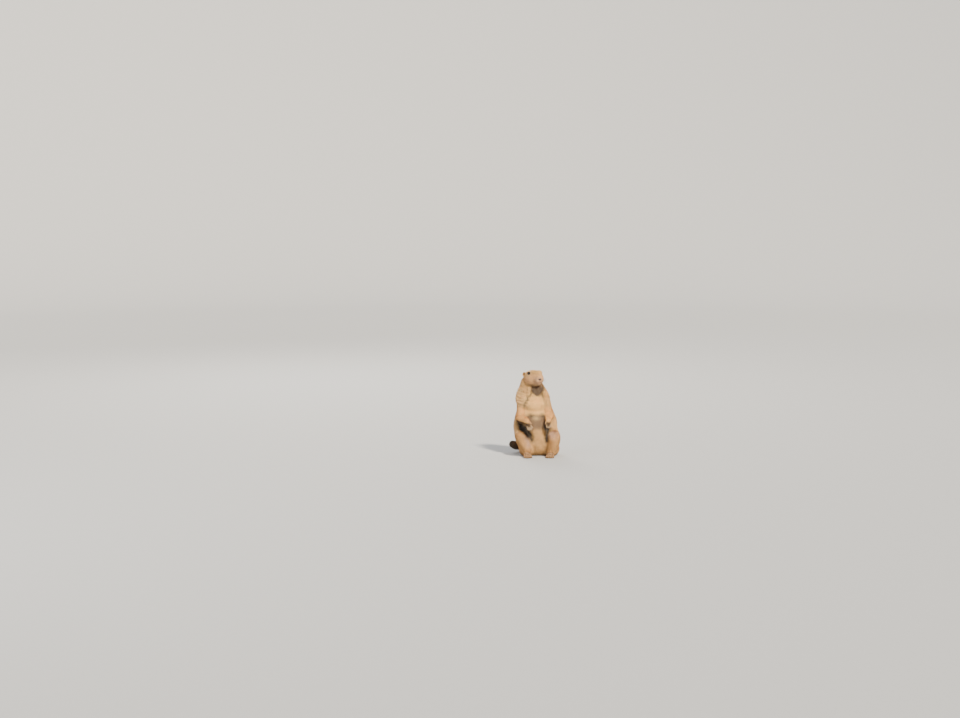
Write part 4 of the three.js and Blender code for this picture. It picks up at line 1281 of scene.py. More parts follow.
@dataclass(frozen=True)
class Skin:
    """One skin over the whole body: a net of quads where the skin's distance is nought."""

    body: Body
    fine: float = 1.35
    coarse: float = 2.4
    low: Point = (-94, -80, -2)
    high: Point = (80, 90, 282)
    fine_spans: tuple[tuple[Span, ...], ...] = (
        ((-52, 60),), ((-78, -40),), ((0, 14), (88, 124), (226, 282)),
    )

    def axis(self, n: int) -> Array:
        """The grid's places along one axis: the inverse of the running sum of the steps' density."""
        x = np.linspace(self.low[n], self.high[n], 4000)
        near = np.zeros_like(x)
        for start, end in self.fine_spans[n]:
            near = np.maximum(near, smoothstep(x, start - 6, start) * smoothstep(x, end + 6, end))
        density = mix(1 / self.coarse, 1 / self.fine, near)
        total = np.concatenate([[0], np.cumsum((density[1:] + density[:-1]) / 2 * np.diff(x))])
        return np.interp(np.arange(int(total[-1]) + 1), total, x)

    def values(self, places: list[Array], slab: int = 10) -> Array:
        """The skin's distance at every place of the grid, worked out a slab of its height at a time."""
        made = np.empty([len(p) for p in places])
        for start in range(0, len(places[2]), slab):
            at = np.stack(np.meshgrid(places[0], places[1], places[2][start:start + slab], indexing="ij"), -1)
            made[:, :, start:start + slab] = self.body.skin(at.reshape(-1, 3)).reshape(at.shape[:3])
        return made

    def points(self, places: list[Array], values: Array, cells: Array) -> Array:
        """The point of each cell: the mean of where the skin crosses the cell's twelve edges."""
        corners = np.array(list(np.ndindex(2, 2, 2)))
        corner_cells = cells[:, None] + corners[None]
        value = values[tuple(np.moveaxis(corner_cells, -1, 0))]
        where = np.stack([places[n][corner_cells[:, :, n]] for n in range(3)], -1)
        total, crossings = np.zeros((len(cells), 3)), np.zeros(len(cells))
        edges = [(a, b) for a in range(8) for b in range(a + 1, 8) if np.abs(corners[a] - corners[b]).sum() == 1]
        for a, b in edges:
            crosses = (value[:, a] < 0) != (value[:, b] < 0)
            t = np.where(crosses, value[:, a] / np.where(crosses, value[:, a] - value[:, b], 1), 0)
            total += crosses[:, None] * mix(where[:, a], where[:, b], t[:, None])
            crossings += crosses
        return total / crossings[:, None]

    def quads(self, inside: Array, number: Array) -> Array:
        """A quad for each edge of the grid that the skin crosses, of the points of the four cells round it."""
        made = []
        for n in range(3):
            ahead, behind = [slice(None)] * 3, [slice(None)] * 3
            ahead[n], behind[n] = slice(1, None), slice(None, -1)
            first = inside[tuple(behind)]
            edges = np.argwhere(first != inside[tuple(ahead)])
            u, v = (n + 1) % 3, (n + 2) % 3
            across = edges[:, (u, v)]
            edges = edges[((across > 0) & (across < [number.shape[u], number.shape[v]])).all(axis=1)]
            ring = []
            for du, dv in ((-1, -1), (0, -1), (0, 0), (-1, 0)):
                cell = edges.copy()
                cell[:, u] += du
                cell[:, v] += dv
                ring.append(number[tuple(cell.T)])
            quad = np.stack(ring, 1)
            made.append(np.where(first[tuple(edges.T)][:, None], quad, quad[:, ::-1]))
        return np.concatenate(made)

    def net(self) -> tuple[Array, Array]:
        """Points and quads of the skin.

        Each cell of the grid that the skin crosses holds one point, and each edge that it
        crosses makes a quad. The points are then drawn onto the skin along its slope.
        """
        places = [self.axis(n) for n in range(3)]
        values = self.values(places)
        inside = values < 0
        cut = tuple(n - 1 for n in values.shape)
        count = sum(
            inside[a:a + cut[0], b:b + cut[1], c:c + cut[2]].astype(np.int8) for a, b, c in np.ndindex(2, 2, 2)
        )
        cells = np.argwhere((count > 0) & (count < 8))
        number = np.full(cut, -1)
        number[tuple(cells.T)] = np.arange(len(cells))
        points = self.points(places, values, cells)
        for _ in range(2):
            away, slope = self.body.slope(points)
            points = points - np.clip(away, -1.2, 1.2)[:, None] * slope
            points[:, 2] = np.maximum(points[:, 2], 0.0)
        return points, self.quads(inside, number)


# The coat

ENDLESS = 999.0
ANYWHERE: Span = (-ENDLESS, ENDLESS)


@dataclass(frozen=True)
class CoatPiece:
    """One region of the coat, as a piece of its own: parts of the body, between bounds along each axis."""

    name: str
    slot: str
    count: int
    finish: HairFinish
    regions: tuple[Region, ...] = ()
    x: Span = ANYWHERE
    y: Span = ANYWHERE
    z: Span = ANYWHERE

    def belongs(self, regions: Array, places: Array) -> Array:
        """Whether each place is in one of the piece's parts and within its bounds."""
        low, high = np.array([self.x, self.y, self.z]).T
        within = ((places > low) & (places <= high)).all(axis=1)
        return within & np.isin(regions, [region.value for region in self.regions])


BODY_HAIR = HairFinish("coat_body")
BACK_HAIR = HairFinish("coat_ticked", ticking=0.14, tip=0.10)
PALE_HAIR = HairFinish("coat_pale", ticking=0.0, tip=0.12, root=0.60)
FACE_HAIR = HairFinish("coat_face", ticking=0.03, root=0.45)
PAW_HAIR = HairFinish("coat_paw", ticking=0.0, root=0.35)
TAIL_HAIR = HairFinish("coat_tail", ticking=0.08, tip=0.05)

FRONT, REAR = (-ENDLESS, 0.0), (0.0, ENDLESS)
RIGHT_HALF, LEFT_HALF = (-ENDLESS, 5.0), (5.0, ENDLESS)
COAT_PIECES = (
    CoatPiece("coat_head", "fur_head", 62000, FACE_HAIR, (Region.HEAD,)),
    CoatPiece("coat_neck", "fur_head", 42000, BODY_HAIR, (Region.TRUNK,), z=(196, ENDLESS)),
    CoatPiece("coat_chest", "fur_chest", 28000, PALE_HAIR, (Region.TRUNK,), y=FRONT, z=(142, 196)),
    CoatPiece("coat_belly", "fur_belly", 42000, PALE_HAIR, (Region.TRUNK,), y=FRONT, z=(-ENDLESS, 142)),
    CoatPiece("coat_back_upper", "fur_head", 54000, BACK_HAIR, (Region.TRUNK,), y=REAR, z=(104, 196)),
    CoatPiece("coat_back_lower", "fur_leg", 54000, BACK_HAIR, (Region.TRUNK,), y=REAR, z=(-ENDLESS, 104)),
    CoatPiece("coat_thigh_right", "fur_leg", 48000, BODY_HAIR, (Region.THIGH,), x=RIGHT_HALF),
    CoatPiece("coat_thigh_left", "fur_leg", 48000, BODY_HAIR, (Region.THIGH,), x=LEFT_HALF),
    CoatPiece("coat_arms", "fur_leg", 64000, BODY_HAIR, (Region.UPPER_ARM, Region.FOREARM)),
    CoatPiece("coat_paws", "paw", 28000, PAW_HAIR, (Region.HAND, Region.FOOT)),
    CoatPiece("coat_tail", "fur_tail", 12000, TAIL_HAIR, (Region.TAIL,)),
)
BRUSH = CoatPiece("coat_tail_brush", "fur_black", 14000, TAIL_HAIR)
EAR_HAIR = CoatPiece("coat_ear", "fur_head", 2600, FACE_HAIR)


@dataclass
class Tufts:
    """Tufts before they are a mesh: root, middle and tip of each, its way out and its width."""

    stations: list[Array]
    normal: Array
    width: Array

    def kept(self, keep: Array) -> "Tufts":
        """The tufts that are kept."""
        return Tufts([station[keep] for station in self.stations], self.normal[keep], self.width[keep])


@dataclass
class Coat:
    """The coat's tufts: narrow blades that leave the skin, bend over and lie along the body."""

    body: Body
    markings: Markings
    sunk: float = 0.4
    clump: float = 5.5
    gather: float = 0.34
    patch: float = 0.003
    margin: float = 0.03
    roll: float = 0.5
    long_share: float = 0.05
    long_by: float = 1.2
    floor_gap: float = 0.6
    eye_gap: float = 0.9
    nose_clear: Point = (4.4, 6.0, 3.7)
    mouth_reach: float = 45.0
    mouth_gap: float = 1.15
    draw: np.random.Generator = field(default_factory=lambda: np.random.default_rng(SEED))

    def roots(self, points: Array, quads: Array, share: Array, count: int) -> Array:
        """Random places on the quads, each quad drawn by its area times its share.

        The draws are spread evenly over the running sum of the areas, and a place in a
        quad is a random blend of its corners, first along two edges and then across.
        """
        a, b, c, d = (points[quads[:, n]] for n in range(4))
        area = np.linalg.norm(np.cross(c - a, d - b), axis=1) / 2 * share
        running = np.cumsum(area)
        drawn = (np.arange(count) + self.draw.random(count)) / count * running[-1]
        n = np.minimum(np.searchsorted(running, drawn), len(quads) - 1)
        s, t = self.draw.random((2, count, 1))
        return mix(mix(a[n], b[n], s), mix(d[n], c[n], s), t)

    def clumps(self, places: Array) -> Array:
        """The nearest clump's middle: one random point in each cell of a lattice, the nearest of 27."""
        home = np.floor(places / self.clump)
        best, middle = np.full(len(places), np.inf), places.copy()
        for step in np.ndindex(3, 3, 3):
            cell = home + np.array(step) - 1
            offset = np.stack([lattice(cell, SEED % 97 + n) for n in range(3)], 1)
            point = (cell + offset) * self.clump
            away = np.linalg.norm(point - places, axis=1)
            nearer = away < best
            best = np.where(nearer, away, best)
            middle = np.where(nearer[:, None], point, middle)
        return middle

    def unwrap(self, places: Array, normals: Array) -> Array:
        """Each place on a box unwrap of the piece's own shape.

        The six faces of a box are laid out three by two. A place goes to the face that its
        normal points to most, at its own position across that face.
        """
        low, high = places.min(axis=0), places.max(axis=0)
        part = (places - low) / np.maximum(high - low, 1e-6)
        axis = np.abs(normals).argmax(axis=1)
        back = np.take_along_axis(normals, axis[:, None], 1)[:, 0] < 0
        u = np.where(axis == 0, part[:, 1], part[:, 0])
        v = np.where(axis == 2, part[:, 1], part[:, 2])
        inner = 1 - 2 * self.margin
        return np.stack([(axis + self.margin + inner * u) / 3, (back + self.margin + inner * v) / 2], 1)

    def grown(self, count: int, points: Array, quads: Array, share: Array) -> Tufts:
        """The tufts of one region of the skin.

        A tuft has three stations: its root just under the skin, its middle most of the way up
        to the coat's depth, and its tip at that depth, a hair's length on along the coat's lie.
        Each station is moved out till the skin's distance is its own height, and towards the
        middle of its clump by a share.

        Args:
            count: how many tufts.
            points: the skin's points.
            quads: the skin's quads in the region.
            share: how densely each quad is covered.

        Returns:
            The tufts that stay clear of the face and the floor.
        """
        root = self.roots(points, quads, share, count)
        away, normal = self.body.slope(root)
        root = root - away[:, None] * normal
        parts = self.body.parts(root)
        weights = self.body.weights(parts)
        measured = {name: self.body.measure(name, root, parts, weights) for name in ("depth", "length", "width")}
        lie = sum(w[:, None] * part.lie(root) for w, part in zip(weights, parts))
        lie = unit(lie - (lie * normal).sum(1, keepdims=True) * normal)
        across = np.cross(normal, lie)
        draw = self.draw
        angle = 0.24 * wander(root, 16.0, 21) + 0.16 * wander(root, 5.0, 22) + draw.normal(0, 0.13, count)
        way = lie * np.cos(angle)[:, None] + across * np.sin(angle)[:, None]
        length = measured["length"] * draw.uniform(0.70, 1.12, count)
        length *= np.where(draw.random(count) < self.long_share, self.long_by, 1.0)
        height = measured["depth"] * draw.uniform(0.62, 1.08, count)
        width = measured["width"] * draw.uniform(0.7, 1.2, count)
        draw_in = self.clumps(root) - root
        draw_in -= (draw_in * normal).sum(1, keepdims=True) * normal
        stations = [root - self.sunk * normal]
        for along, up, gather in ((0.48, 0.78, 0.5), (1.0, 1.0, 1.0)):
            place = root + way * (length * along)[:, None] + draw_in * (self.gather * gather)
            place = place + normal * (height * up)[:, None]
            stations.append(place + normal * (height * up - self.body.skin(place))[:, None])
        made = Tufts(stations, normal, width)
        return made.kept(self.clear_of_face(stations) & (root[:, 2] > self.floor_gap))

    def clear_of_face(self, stations: list[Array]) -> Array:
        """Whether a tuft stays clear of the eyes, the nose and the line of the mouth."""
        head = self.body.head
        keep = np.ones(len(stations[0]), bool)
        line = head.axes.place(spline(head.mouth, 60))
        for station in stations:
            for side in Side:
                keep &= np.linalg.norm(station - head.eye(side), axis=1) > head.eye_radius + self.eye_gap
            local = head.axes.local(station) - np.array(head.nose)
            keep &= np.linalg.norm(local / self.nose_clear, axis=1) > 1.0
        near = np.linalg.norm(stations[0] - head.axes.place(head.nose), axis=1) < self.mouth_reach
        if near.any():
            gap = np.linalg.norm(stations[0][near][:, None] - line[None], axis=2).min(axis=1)
            keep[near] &= gap > self.mouth_gap
        return keep

    def dress(self, piece: CoatPiece, tufts: Tufts, material: bpy.types.Material) -> bpy.types.Object:
        """The piece's mesh, with its markings, hair values and its unwrap for baking.

        A tuft is a flat ribbon of five points, half its width to each side of its root and
        middle, and its tip. The ribbon is rolled a little about its own length by chance.

        Args:
            piece: the region's name and finish.
            tufts: the tufts.
            material: the finish.

        Returns:
            The finished piece.
        """
        root, middle, tip = tufts.stations
        count = len(root)
        along = unit(tip - root)
        flank = unit(np.cross(tufts.normal, along))
        roll = self.draw.normal(0, self.roll, (count, 1))
        flank = flank * np.cos(roll) + np.cross(along, flank) * np.sin(roll)
        half = (tufts.width / 2)[:, None] * flank
        made = np.stack([root - half, root + half, middle - half * 0.85, middle + half * 0.85, tip], 1)
        made = np.clip(made, BOX_LOW + 0.1, BOX_HIGH - 0.1)
        made[:, :, 2] = np.maximum(made[:, :, 2], 0.3)
        corners = np.array([0, 2, 3, 1, 2, 4, 3])
        faces = (np.arange(count)[:, None] * 5 + corners).reshape(-1)
        item = mesh_of(piece.name, made, faces, np.tile([4, 3], count))
        parts = self.body.parts(root)
        colour = self.markings.colours(root, parts, self.body.weights(parts))
        shade = 1.0 + 0.24 * (self.draw.random((count, 1)) - 0.5)
        paint(item, np.repeat(colour * shade, 5, axis=0))
        hair = np.zeros((count, 5, 3))
        hair[:, :, 0] = [0, 0, 0.5, 0.5, 1.0]
        hair[:, :, 1] = self.draw.random((count, 1))
        store(item, "hair", "FLOAT_VECTOR", "vector", hair)
        chart = self.unwrap(root, tufts.normal)
        place = np.array([[-1, -1], [1, -1], [-1, 0], [1, 0], [0, 1]]) * self.patch / 2
        where = (chart[:, None] + place[None]).reshape(-1, 2)[faces]
        item.data.uv_layers.new(name="OFBake").data.foreach_set("uv", where.astype(np.float32).reshape(-1))
        item.data.materials.append(material)
        return item

    def brush(self) -> Tufts:
        """The tail's brush."""
        stations, normal = self.body.tail.brush(BRUSH.count, self.draw)
        return Tufts(stations, normal, COAT[Region.TAIL].width * self.draw.uniform(0.8, 1.3, BRUSH.count))

    def on_ear(self, points: Array, quads: Array, side: Side) -> Tufts:
        """Small tufts over an ear: they leave its surface and lie up, out and back over the rim."""
        root = self.roots(points, quads, np.ones(len(quads)), EAR_HAIR.count)
        a, b, c, d = (points[quads[:, n]] for n in range(4))
        nearest = np.linalg.norm(root[:, None] - ((a + c) / 2)[None], axis=2).argmin(axis=1)
        normal = unit(np.cross(c - a, d - b))[nearest]
        lie = self.body.head.axes.direction([-0.5, 0.25 * side.value, 0.55])
        lie = unit(lie - (normal @ lie)[:, None] * normal + 0.2 * self.draw.normal(0, 1, root.shape))
        length = self.draw.uniform(1.8, 3.2, (len(root), 1))
        stations = [root - 0.2 * normal, root + lie * length * 0.5 + normal * 0.45, root + lie * length + normal * 0.7]
        return Tufts(stations, normal, self.draw.uniform(0.24, 0.4, len(root)))


# Eyes, lids, nose, lips, ears, claws and whiskers

@dataclass(frozen=True)
class Face:
    """What the head carries besides its coat."""

    body: Body
    lid_ring: float = 5.7
    lid_lift: float = 3.4
    lid_roll: float = 1.0
    lid_skirt: float = 1.5
    ear_half: tuple[float, float] = (4.1, 5.7)
    nose_size: Point = (4.0, 5.9, 3.5)
    lip_half: float = 2.1
    whisker_radius: float = 0.11

    def eye_axes(self, side: Side) -> tuple[Array, Array, Array]:
        """An eye's own axes: along the head, up, and where it looks."""
        head = self.body.head
        axis = head.eye_axis(side)
        forward = head.axes.direction([1, 0, 0])
        along = unit(forward - (forward @ axis) * axis)
        up = np.cross(axis, along)
        return along, up if up[2] > 0 else -up, axis

    def eye(self, side: Side) -> bpy.types.Object:
        """The eyeball: a ball with a slightly raised cornea, the pupil and iris painted on it.

        A point is the middle + 0.985 R (1 + 0.03 exp(-(a / 0.6)^2)) times the direction at
        angle a from the eye's axis.
        """
        head = self.body.head
        along, up, axis = self.eye_axes(side)
        a, v = polar(0.02, 40, 64)
        radius = head.eye_radius * (1 + 0.03 * np.exp(-((a / 0.6) ** 2))) * 0.985
        way = np.cos(a)[..., None] * axis + np.sin(a)[..., None] * (
            np.cos(v)[..., None] * along + np.sin(v)[..., None] * up
        )
        points = head.eye(side) + radius[..., None] * way
        iris = mix(linear(14, 10, 9), linear(46, 28, 18), smoothstep(a, 0.40, 0.50)[..., None])
        colour = mix(iris, linear(18, 12, 10), smoothstep(a, 0.62, 0.78)[..., None])
        return ball_of(f"eyeball_{side.label}", points, colour)

    def lids(self, side: Side) -> bpy.types.Object:
        """The lids: a rolled ring round the opening, whose skirt runs down into the skin.

        The section goes from inside the ring over its roll, b + t (cos f, sin f), and out
        along a falling skirt. The ring is longer along the head than it is high, and the
        upper lid is thicker than the lower.
        """
        head = self.body.head
        along, up, axis = self.eye_axes(side)
        columns = 72
        v = np.linspace(0, 2 * np.pi, columns, endpoint=False)
        f = np.radians(np.linspace(215, 20, 14))
        roll = self.lid_roll * (1 + 0.22 * np.sin(v))
        ring_r = self.lid_ring + roll[None] * np.cos(f)[:, None]
        ring_h = self.lid_lift + roll[None] * np.sin(f)[:, None]
        out = np.linspace(0, 1, 9)[1:, None]
        skirt_r = ring_r[-1][None] + self.lid_skirt * out
        skirt_h = ring_h[-1][None] - 5.2 * out**1.3
        r = np.concatenate([ring_r, skirt_r])
        h = np.concatenate([ring_h, skirt_h])
        squint = 1 + 0.05 * np.cos(2 * v)
        points = (
            head.eye(side)
            + (1.13 * squint * r * np.cos(v))[..., None] * along
            + (0.90 * r * np.sin(v))[..., None] * up
            + h[..., None] * axis
        )
        flip = np.dot(np.cross(along, up), axis) > 0
        faces = grid_faces(len(r), columns, True)
        dark = smoothstep(np.arange(len(r))[:, None] * np.ones((1, columns)), 13.0, 7.0)[..., None]
        colour = mix(Tone.EYE_RING.colour, linear(44, 31, 25), dark)
        return painted(f"eyelids_{side.label}", points, faces[:, ::-1] if flip else faces, colour)

    def nose_pad(self) -> bpy.types.Object:
        """The nose: a rounded pad, flattened above, with a nostril on each side and a groove below.

        A point is the ellipsoid's, drawn in by a bell-shaped pit round each nostril's curved
        line, and by a narrow bell along the middle below the centre. The pits and the groove
        are darkened as painted shade.
        """
        axes = self.body.head.axes
        a, v = polar(0.03, 56, 84)
        way = np.stack([np.cos(a), np.sin(a) * np.cos(v), np.sin(a) * np.sin(v)], -1)
        local = way * self.nose_size
        local[..., 1] *= 1 - 0.16 * smoothstep(-local[..., 2], 0.2, 3.2)
        pit = np.zeros(local.shape[:2])
        t = np.linspace(0, 1, 7)
        for sign in (-1, 1):
            hook = np.stack([3.3 - 1.5 * t**2, sign * (1.8 + 2.5 * t), -0.9 + 1.5 * np.sin(2.4 * t)], 1)
            away = np.linalg.norm(local[:, :, None] - hook, axis=-1).min(axis=-1)
            pit = np.maximum(pit, np.exp(-((away / 0.85) ** 2)))
        groove = np.exp(-((local[..., 1] / 0.45) ** 2)) * smoothstep(local[..., 2], 0.4, -1.4) * (way[..., 0] > 0)
        local -= way * (1.9 * pit + 0.7 * groove)[..., None]
        points = np.array(self.body.head.nose) * axes.scale + local
        points = points @ axes.turn.T + np.array(axes.eyes)
        # Painted shade in the nostrils and the groove.
        colour = mix(linear(66, 50, 44), linear(20, 15, 14), np.maximum(pit, 0.6 * groove)[..., None])
        return ball_of("nose_pad", points, colour)

    def lips(self) -> bpy.types.Object:
        """The lips: a band over the skin along the mouth, two soft rolls with the mouth's line between.

        Across the band the height is a bell at each third, less a narrow deep bell in the
        middle, and falls under the skin at the edges and at both ends. The mouth's line is
        painted shade, and the lower roll darkens towards the chin's painted shade.
        """
        head = self.body.head
        path = head.axes.place(spline(head.mouth, 90))
        v = np.linspace(-1, 1, 19)
        up = head.axes.direction([-0.25, 0, 1])
        points = (path[:, None] + (v * self.lip_half)[None, :, None] * up).reshape(-1, 3)
        for _ in range(4):
            away, slope = self.body.slope(points)
            points = points - away[:, None] * slope
        _, slope = self.body.slope(points)
        end = np.sin(np.linspace(0, np.pi, len(path))) ** 0.35
        rolls = 0.95 * np.exp(-(((np.abs(v) - 0.5) / 0.24) ** 2)) - 1.1 * np.exp(-((v / 0.26) ** 2))
        height = end[:, None] * rolls[None] - 0.5 * (np.abs(v) > 0.9)[None] - 0.8 * (1 - end)[:, None]
        points = points + height.reshape(-1, 1) * slope
        # Painted shade along the mouth's line, and towards the chin below it.
        line = np.exp(-((v / 0.42) ** 4))[None, :, None] * end[:, None, None]
        below = smoothstep(v, 0.1, -0.5)[None, :, None]
        pale = mix(Tone.MUZZLE.colour, Tone.CHIN_SHADE.colour, 0.7 * below)
        colour = mix(pale * np.ones((len(path), 1, 1)), linear(44, 28, 22), line)
        return painted("lips", points, grid_faces(len(path), len(v))[:, ::-1], colour)

    def ear(self, side: Side) -> tuple[bpy.types.Object, Array, Array]:
        """An ear: a low round cup, open forwards and outwards; with its points and its outer quads.

        The section runs up the outer wall, over a rolled rim and down the bowl; each ring of
        it is an oval, higher than it is wide, and the rim leans back at the top.
        """
        head = self.body.head
        sign = side.value
        yaw = math.radians(sign * 28)
        axes = head.axes
        axis = unit(axes.direction([math.cos(yaw) * 0.8, sign * (0.62 + math.sin(abs(yaw)) * 0.3), 0.18]))
        up = unit(np.array([0, 0, 1.0]) - axis[2] * axis)
        side_way = np.cross(up, axis)
        t = np.linspace(0, 1, 30)
        r = np.where(t < 0.5, 0.80 + 0.32 * np.sin(t * np.pi), 0.0)
        r = np.where(t >= 0.5, 1.12 * np.cos((t - 0.5) * np.pi) ** 0.7 * 0.86 + 0.02, r)
        h = np.where(t < 0.5, -4.6 + 6.6 * smoothstep(t, 0, 0.5), 2.0 - 3.2 * smoothstep(t, 0.5, 0.85))
        v = np.linspace(0, 2 * np.pi, 56, endpoint=False)
        wide, high = self.ear_half
        points = (
            axes.place([head.ear[0], sign * head.ear[1], head.ear[2]])
            + (r[:, None] * wide * np.cos(v))[..., None] * side_way
            + (r[:, None] * high * (1 + 0.07 * np.sin(v)) * np.sin(v))[..., None] * up
            + (h[:, None] - 0.8 * np.sin(v) * (r[:, None] > 0.5))[..., None] * axis
        )
        points, faces = points.reshape(-1, 3), grid_faces(len(t), len(v), True)
        bowl = smoothstep(t, 0.55, 0.8)[:, None, None] * np.ones((1, len(v), 1))
        colour = mix(Tone.CROWN.colour, linear(150, 112, 88), bowl)
        return painted(f"ear_cup_{side.label}", points, faces, colour), points, faces[: 18 * len(v)]

    def whiskers(self) -> bpy.types.Object:
        """The whiskers: fine tapered hairs that leave the muzzle sideways, bend back and droop."""
        axes = self.body.head.axes
        draw = np.random.default_rng(SEED + 1)
        parts = []
        t = np.linspace(0, 1, 12)[:, None]
        for sign, row, n in ((sign, row, n) for sign in (-1, 1) for row in range(3) for n in range(5)):
            root = np.array([26 - 3.2 * n, sign * (8.6 + 1.3 * n), -17.5 - 2.6 * row])
            reach = 17 + 3.2 * n + draw.uniform(-2, 2)
            out = np.array([0.25 - 0.16 * n, sign, 0.15 - 0.22 * row + draw.uniform(-0.08, 0.08)])
            path = axes.place(root + unit(out) * reach * t + np.array([-0.35, 0, -0.22]) * reach * t**2)
            parts.append(swept(path, self.whisker_radius * (1 - 0.8 * t[:, 0]), 4, np.array([0.1, 0.2, 1.0])))
        points, quads = joined(parts)
        return painted("whiskers", points, quads, np.broadcast_to(linear(30, 24, 20), points.shape))


def claws(
    name: str, digits: list[Digit], radius: float, lengths: Sequence[float], drop: Array, lift: Array,
) -> bpy.types.Object:
    """The claws of one paw: each a tube along a parabola from inside the digit's tip, flattened at its sides.

    Args:
        name: the piece's name.
        digits: root, knuckle and tip of each digit.
        radius: the digits' radius.
        lengths: how far each claw stands out past its tip.
        drop: how the point turns away from a straight line.
        lift: how the middle bows.

    Returns:
        The finished piece.
    """
    parts, around = [], 10
    t = np.linspace(0, 1, 14)[:, None]
    for (root, _, tip), length in zip(digits, lengths):
        forward = unit(tip - root)
        start = tip - forward * radius * 0.5 + lift * 0.3
        middle = tip + forward * length * 0.5 + lift
        end = tip + forward * length + drop
        path = (1 - t) ** 2 * start + 2 * t * (1 - t) * middle + t**2 * end
        radii = radius * 0.46 * (1 - 0.9 * t[:, 0] ** 1.6)
        side = unit(np.cross(forward, lift - drop))
        over = np.cross(side, forward)
        parts.append(swept(path, radii, around, over, flat=1.25))
    points, quads = joined(parts)
    horn = np.repeat(mix(linear(112, 88, 70), linear(52, 40, 34), t), around, axis=0)
    return painted(name, points, quads, np.tile(horn, (len(parts), 1)))


# Stage, lights and camera

@dataclass(frozen=True)
class Studio:
    """A pale sweep of floor, soft lights, and the photo's camera."""

    lens: float = 72.0
    sensor: float = 36.0
    pitch: float = 6.2
    distance: float = 6.2
    middle: float = 0.14
    frame_size: tuple[int, int] = (960, 718)
    seat_pixel: tuple[float, float] = (536.5, 455.0)

    def floor(self, groups: Groups) -> None:
        """The floor: level about the animal, and rising all round by a share of the square of the way past 6 m."""
        side = np.linspace(-9.5, 9.5, 96)
        x, y = np.meshgrid(side, side, indexing="xy")
        past = np.maximum(np.hypot(x, y) - 6.0, 0.0)
        points = np.stack([x, y, 0.22 * past**2], -1).reshape(-1, 3) / METRES
        piece = mesh_of("studio_floor", points, grid_faces(len(side), len(side)))
        piece.data.materials.append(StageFinish("pale_floor").build(groups))

    def placed(self, name: str, data: bpy.types.ID, place: Array, way: Array) -> bpy.types.Object:
        """A lamp or camera at a place, looking along a way, with Y up."""
        item = bpy.data.objects.new(name, data)
        item.location = place
        item.rotation_mode = "QUATERNION"
        item.rotation_quaternion = Vector(way).to_track_quat("-Z", "Y")
        bpy.context.scene.collection.objects.link(item)
        return item

    def lamp(self, name: str, kind: str, place: Point, energy: float, colour: Point, **settings: float) -> None:
        """A lamp that looks from its place at the animal's middle, or a sun that shines from that direction."""
        data = bpy.data.lights.new(name, kind)
        data.energy, data.color = energy, colour
        for setting, value in settings.items():
            setattr(data, setting, value)
        middle = np.array([0, 0, 0.0 if kind == "SUN" else self.middle])
        self.placed(name, data, place, middle - np.array(place))

    def lights(self) -> None:
        """A warm key from the upper right and in front, soft light from the left, and some from behind."""
        self.lamp("key", "SUN", (1.25, -1.9, 2.3), 6.8, (1.0, 0.905, 0.76), angle=math.radians(7.0))
        self.lamp("fill", "AREA", (-2.4, -1.6, 1.4), 24.0, (0.92, 0.96, 1.0), size=1.8)
        self.lamp("back", "AREA", (-0.9, 2.4, 2.0), 52.0, (1.0, 0.96, 0.90), size=1.4)
        world = bpy.data.worlds.new("studio")
        world.use_nodes = True
        sky = world.node_tree.nodes["Background"].inputs
        sky["Color"].default_value, sky["Strength"].default_value = (0.95, 0.96, 1.0, 1), 0.62
        bpy.context.scene.world = world

    def camera(self) -> None:
        """The camera: at the photo's slight downward pitch, so that the seat falls on its pixel."""
        pitch = math.radians(self.pitch)
        ahead = np.array([0, math.cos(pitch), -math.sin(pitch)])
        up = np.array([0, math.sin(pitch), math.cos(pitch)])
        focal = self.lens / self.sensor * self.frame_size[0]
        right_by = (self.seat_pixel[0] - self.frame_size[0] / 2) / focal
        down_by = (self.seat_pixel[1] - self.frame_size[1] / 2) / focal
        sight = unit(ahead + np.array([1, 0, 0]) * right_by - up * down_by)
        data = bpy.data.cameras.new("camera")
        data.lens, data.sensor_width = self.lens, self.sensor
        bpy.context.scene.camera = self.placed("camera", data, -sight * self.distance, ahead)


# The whole model

FLESH = (
    "head", "neck", "chest", "abdomen", "ear_right", "ear_left", "thigh_right", "thigh_left", "foot_right",
    "foot_left", "upper_arm_right", "upper_arm_left", "forearm_right", "forearm_left", "hand_right", "hand_left",
    "tail_base",
)


def ready(piece: bpy.types.Object, slot: str, material: bpy.types.Material | None = None) -> bpy.types.Object:
    """Gives a piece its finish, and lets it ride on the still body."""
    if material is not None:
        piece.data.materials.append(material)
    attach(piece, "root")
    LOG.info("%s: %d points, %d faces", piece.name, len(piece.data.vertices), len(piece.data.polygons))
    return piece


def build_skin(body: Body, markings: Markings, material: bpy.types.Material) -> tuple[Array, Array]:
    """The skin, with its markings, in place of the nodes of flesh; returns its points and quads."""
    points, quads = Skin(body).net()
    parts = body.parts(points)
    skin = painted("skin", points, quads, markings.colours(points, parts, body.weights(parts)))
    ready(skin, "fur_leg", material)
    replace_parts(skin, *FLESH)
    return points, quads


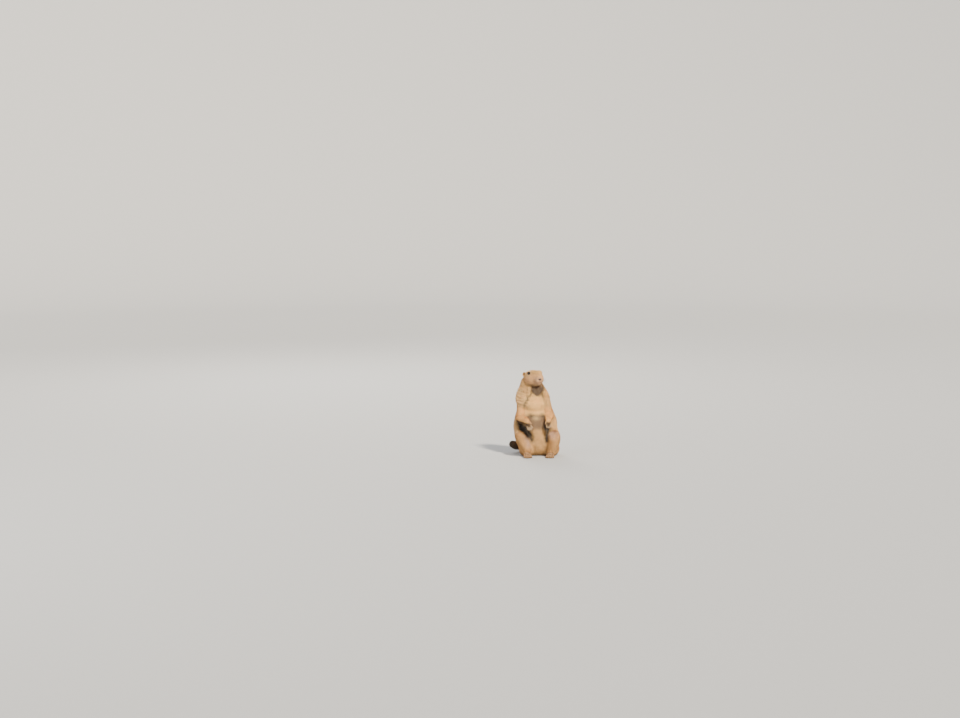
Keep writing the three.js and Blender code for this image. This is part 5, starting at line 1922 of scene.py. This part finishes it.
def build_coat(coat: Coat, groups: Groups, points: Array, quads: Array) -> dict[str, bpy.types.Material]:
    """The coat's pieces: the skin's quads sorted into regions, and each region grown over with tufts.

    Args:
        coat: what grows the tufts.
        groups: the shared node groups.
        points: the skin's points.
        quads: the skin's quads.

    Returns:
        The hair finishes by name.
    """
    body = coat.body
    middle = points[quads].mean(axis=1)
    parts = body.parts(middle)
    weights = body.weights(parts)
    region = np.array([part.region.value for part in parts])[weights.argmax(axis=0)]
    share = 1.0 / (body.measure("length", middle, parts, weights) * body.measure("width", middle, parts, weights))
    finishes = {piece.finish.name: piece.finish.build(groups) for piece in COAT_PIECES}
    for piece in COAT_PIECES:
        chosen = piece.belongs(region, middle)
        tufts = coat.grown(piece.count, points, quads[chosen], share[chosen])
        ready(coat.dress(piece, tufts, finishes[piece.finish.name]), piece.slot)
    brush = ready(coat.dress(BRUSH, coat.brush(), finishes[BRUSH.finish.name]), BRUSH.slot)
    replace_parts(brush, "tail_brush")
    return finishes


def build_face(coat: Coat, groups: Groups, hair: bpy.types.Material) -> None:
    """The eyes, lids, nose, lips, ears and whiskers."""
    face = Face(coat.body)
    eye_gloss = EyeFinish("eye_gloss").build(groups)
    bare = BareFinish("nose_leather").build(groups)
    short = ShortFurFinish("short_fur", size=1500.0, bump=0.35, shade=1.0).build(groups)
    whisker = BareFinish("whisker_hair", roughness=0.5, bump=0.1, coat=0.0).build(groups)
    for side in Side:
        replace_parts(ready(face.eye(side), "eye", eye_gloss), f"eye_{side.label}")
        ready(face.lids(side), "fur_head", short)
        cup, points, quads = face.ear(side)
        ready(cup, "fur_head", short)
        hairs = replace(EAR_HAIR, name=f"{EAR_HAIR.name}_{side.label}")
        ready(coat.dress(hairs, coat.on_ear(points, quads, side), hair), hairs.slot)
    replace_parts(ready(face.nose_pad(), "nose", bare), "nose")
    ready(face.lips(), "fur_head", short)
    ready(face.whiskers(), "fur_black", whisker)


def build_claws(body: Body, groups: Groups) -> None:
    """The claws of the hands and feet."""
    horn = BareFinish("claw_horn", roughness=0.35, pebble=900.0, bump=0.15, coat=0.3).build(groups)
    for arm in body.arms:
        hand = (f"claws_hand_{arm.side.label}", arm.fingers(), arm.finger_radius, (3.5, 6.5, 6.5, 6.5, 6))
        ready(claws(*hand, drop=np.array([0, 1.5, -1.5]), lift=np.array([0, -1.4, 0])), "paw", horn)
    for leg in body.legs:
        foot = (f"claws_foot_{leg.side.label}", leg.toes(), leg.toe_radius, (6, 6.5, 6.5, 6.5, 6))
        ready(claws(*foot, drop=np.array([0, 0, -1.2]), lift=np.array([0, 0, 1.2])), "paw", horn)


def main() -> None:
    """Builds the animal and its studio."""
    logging.basicConfig(level=logging.INFO, format="%(name)s: %(message)s")
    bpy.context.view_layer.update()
    body = Body()
    markings = Markings(body)
    groups = Groups(strand_group(), mottle_group(), short_fur_group())
    studio = Studio()
    studio.camera()
    studio.lights()
    studio.floor(groups)
    points, quads = build_skin(body, markings, ShortFurFinish("under_fur").build(groups))
    coat = Coat(body, markings)
    finishes = build_coat(coat, groups, points, quads)
    build_face(coat, groups, finishes[FACE_HAIR.name])
    build_claws(body, groups)


if __name__ == "__main__":
    main()
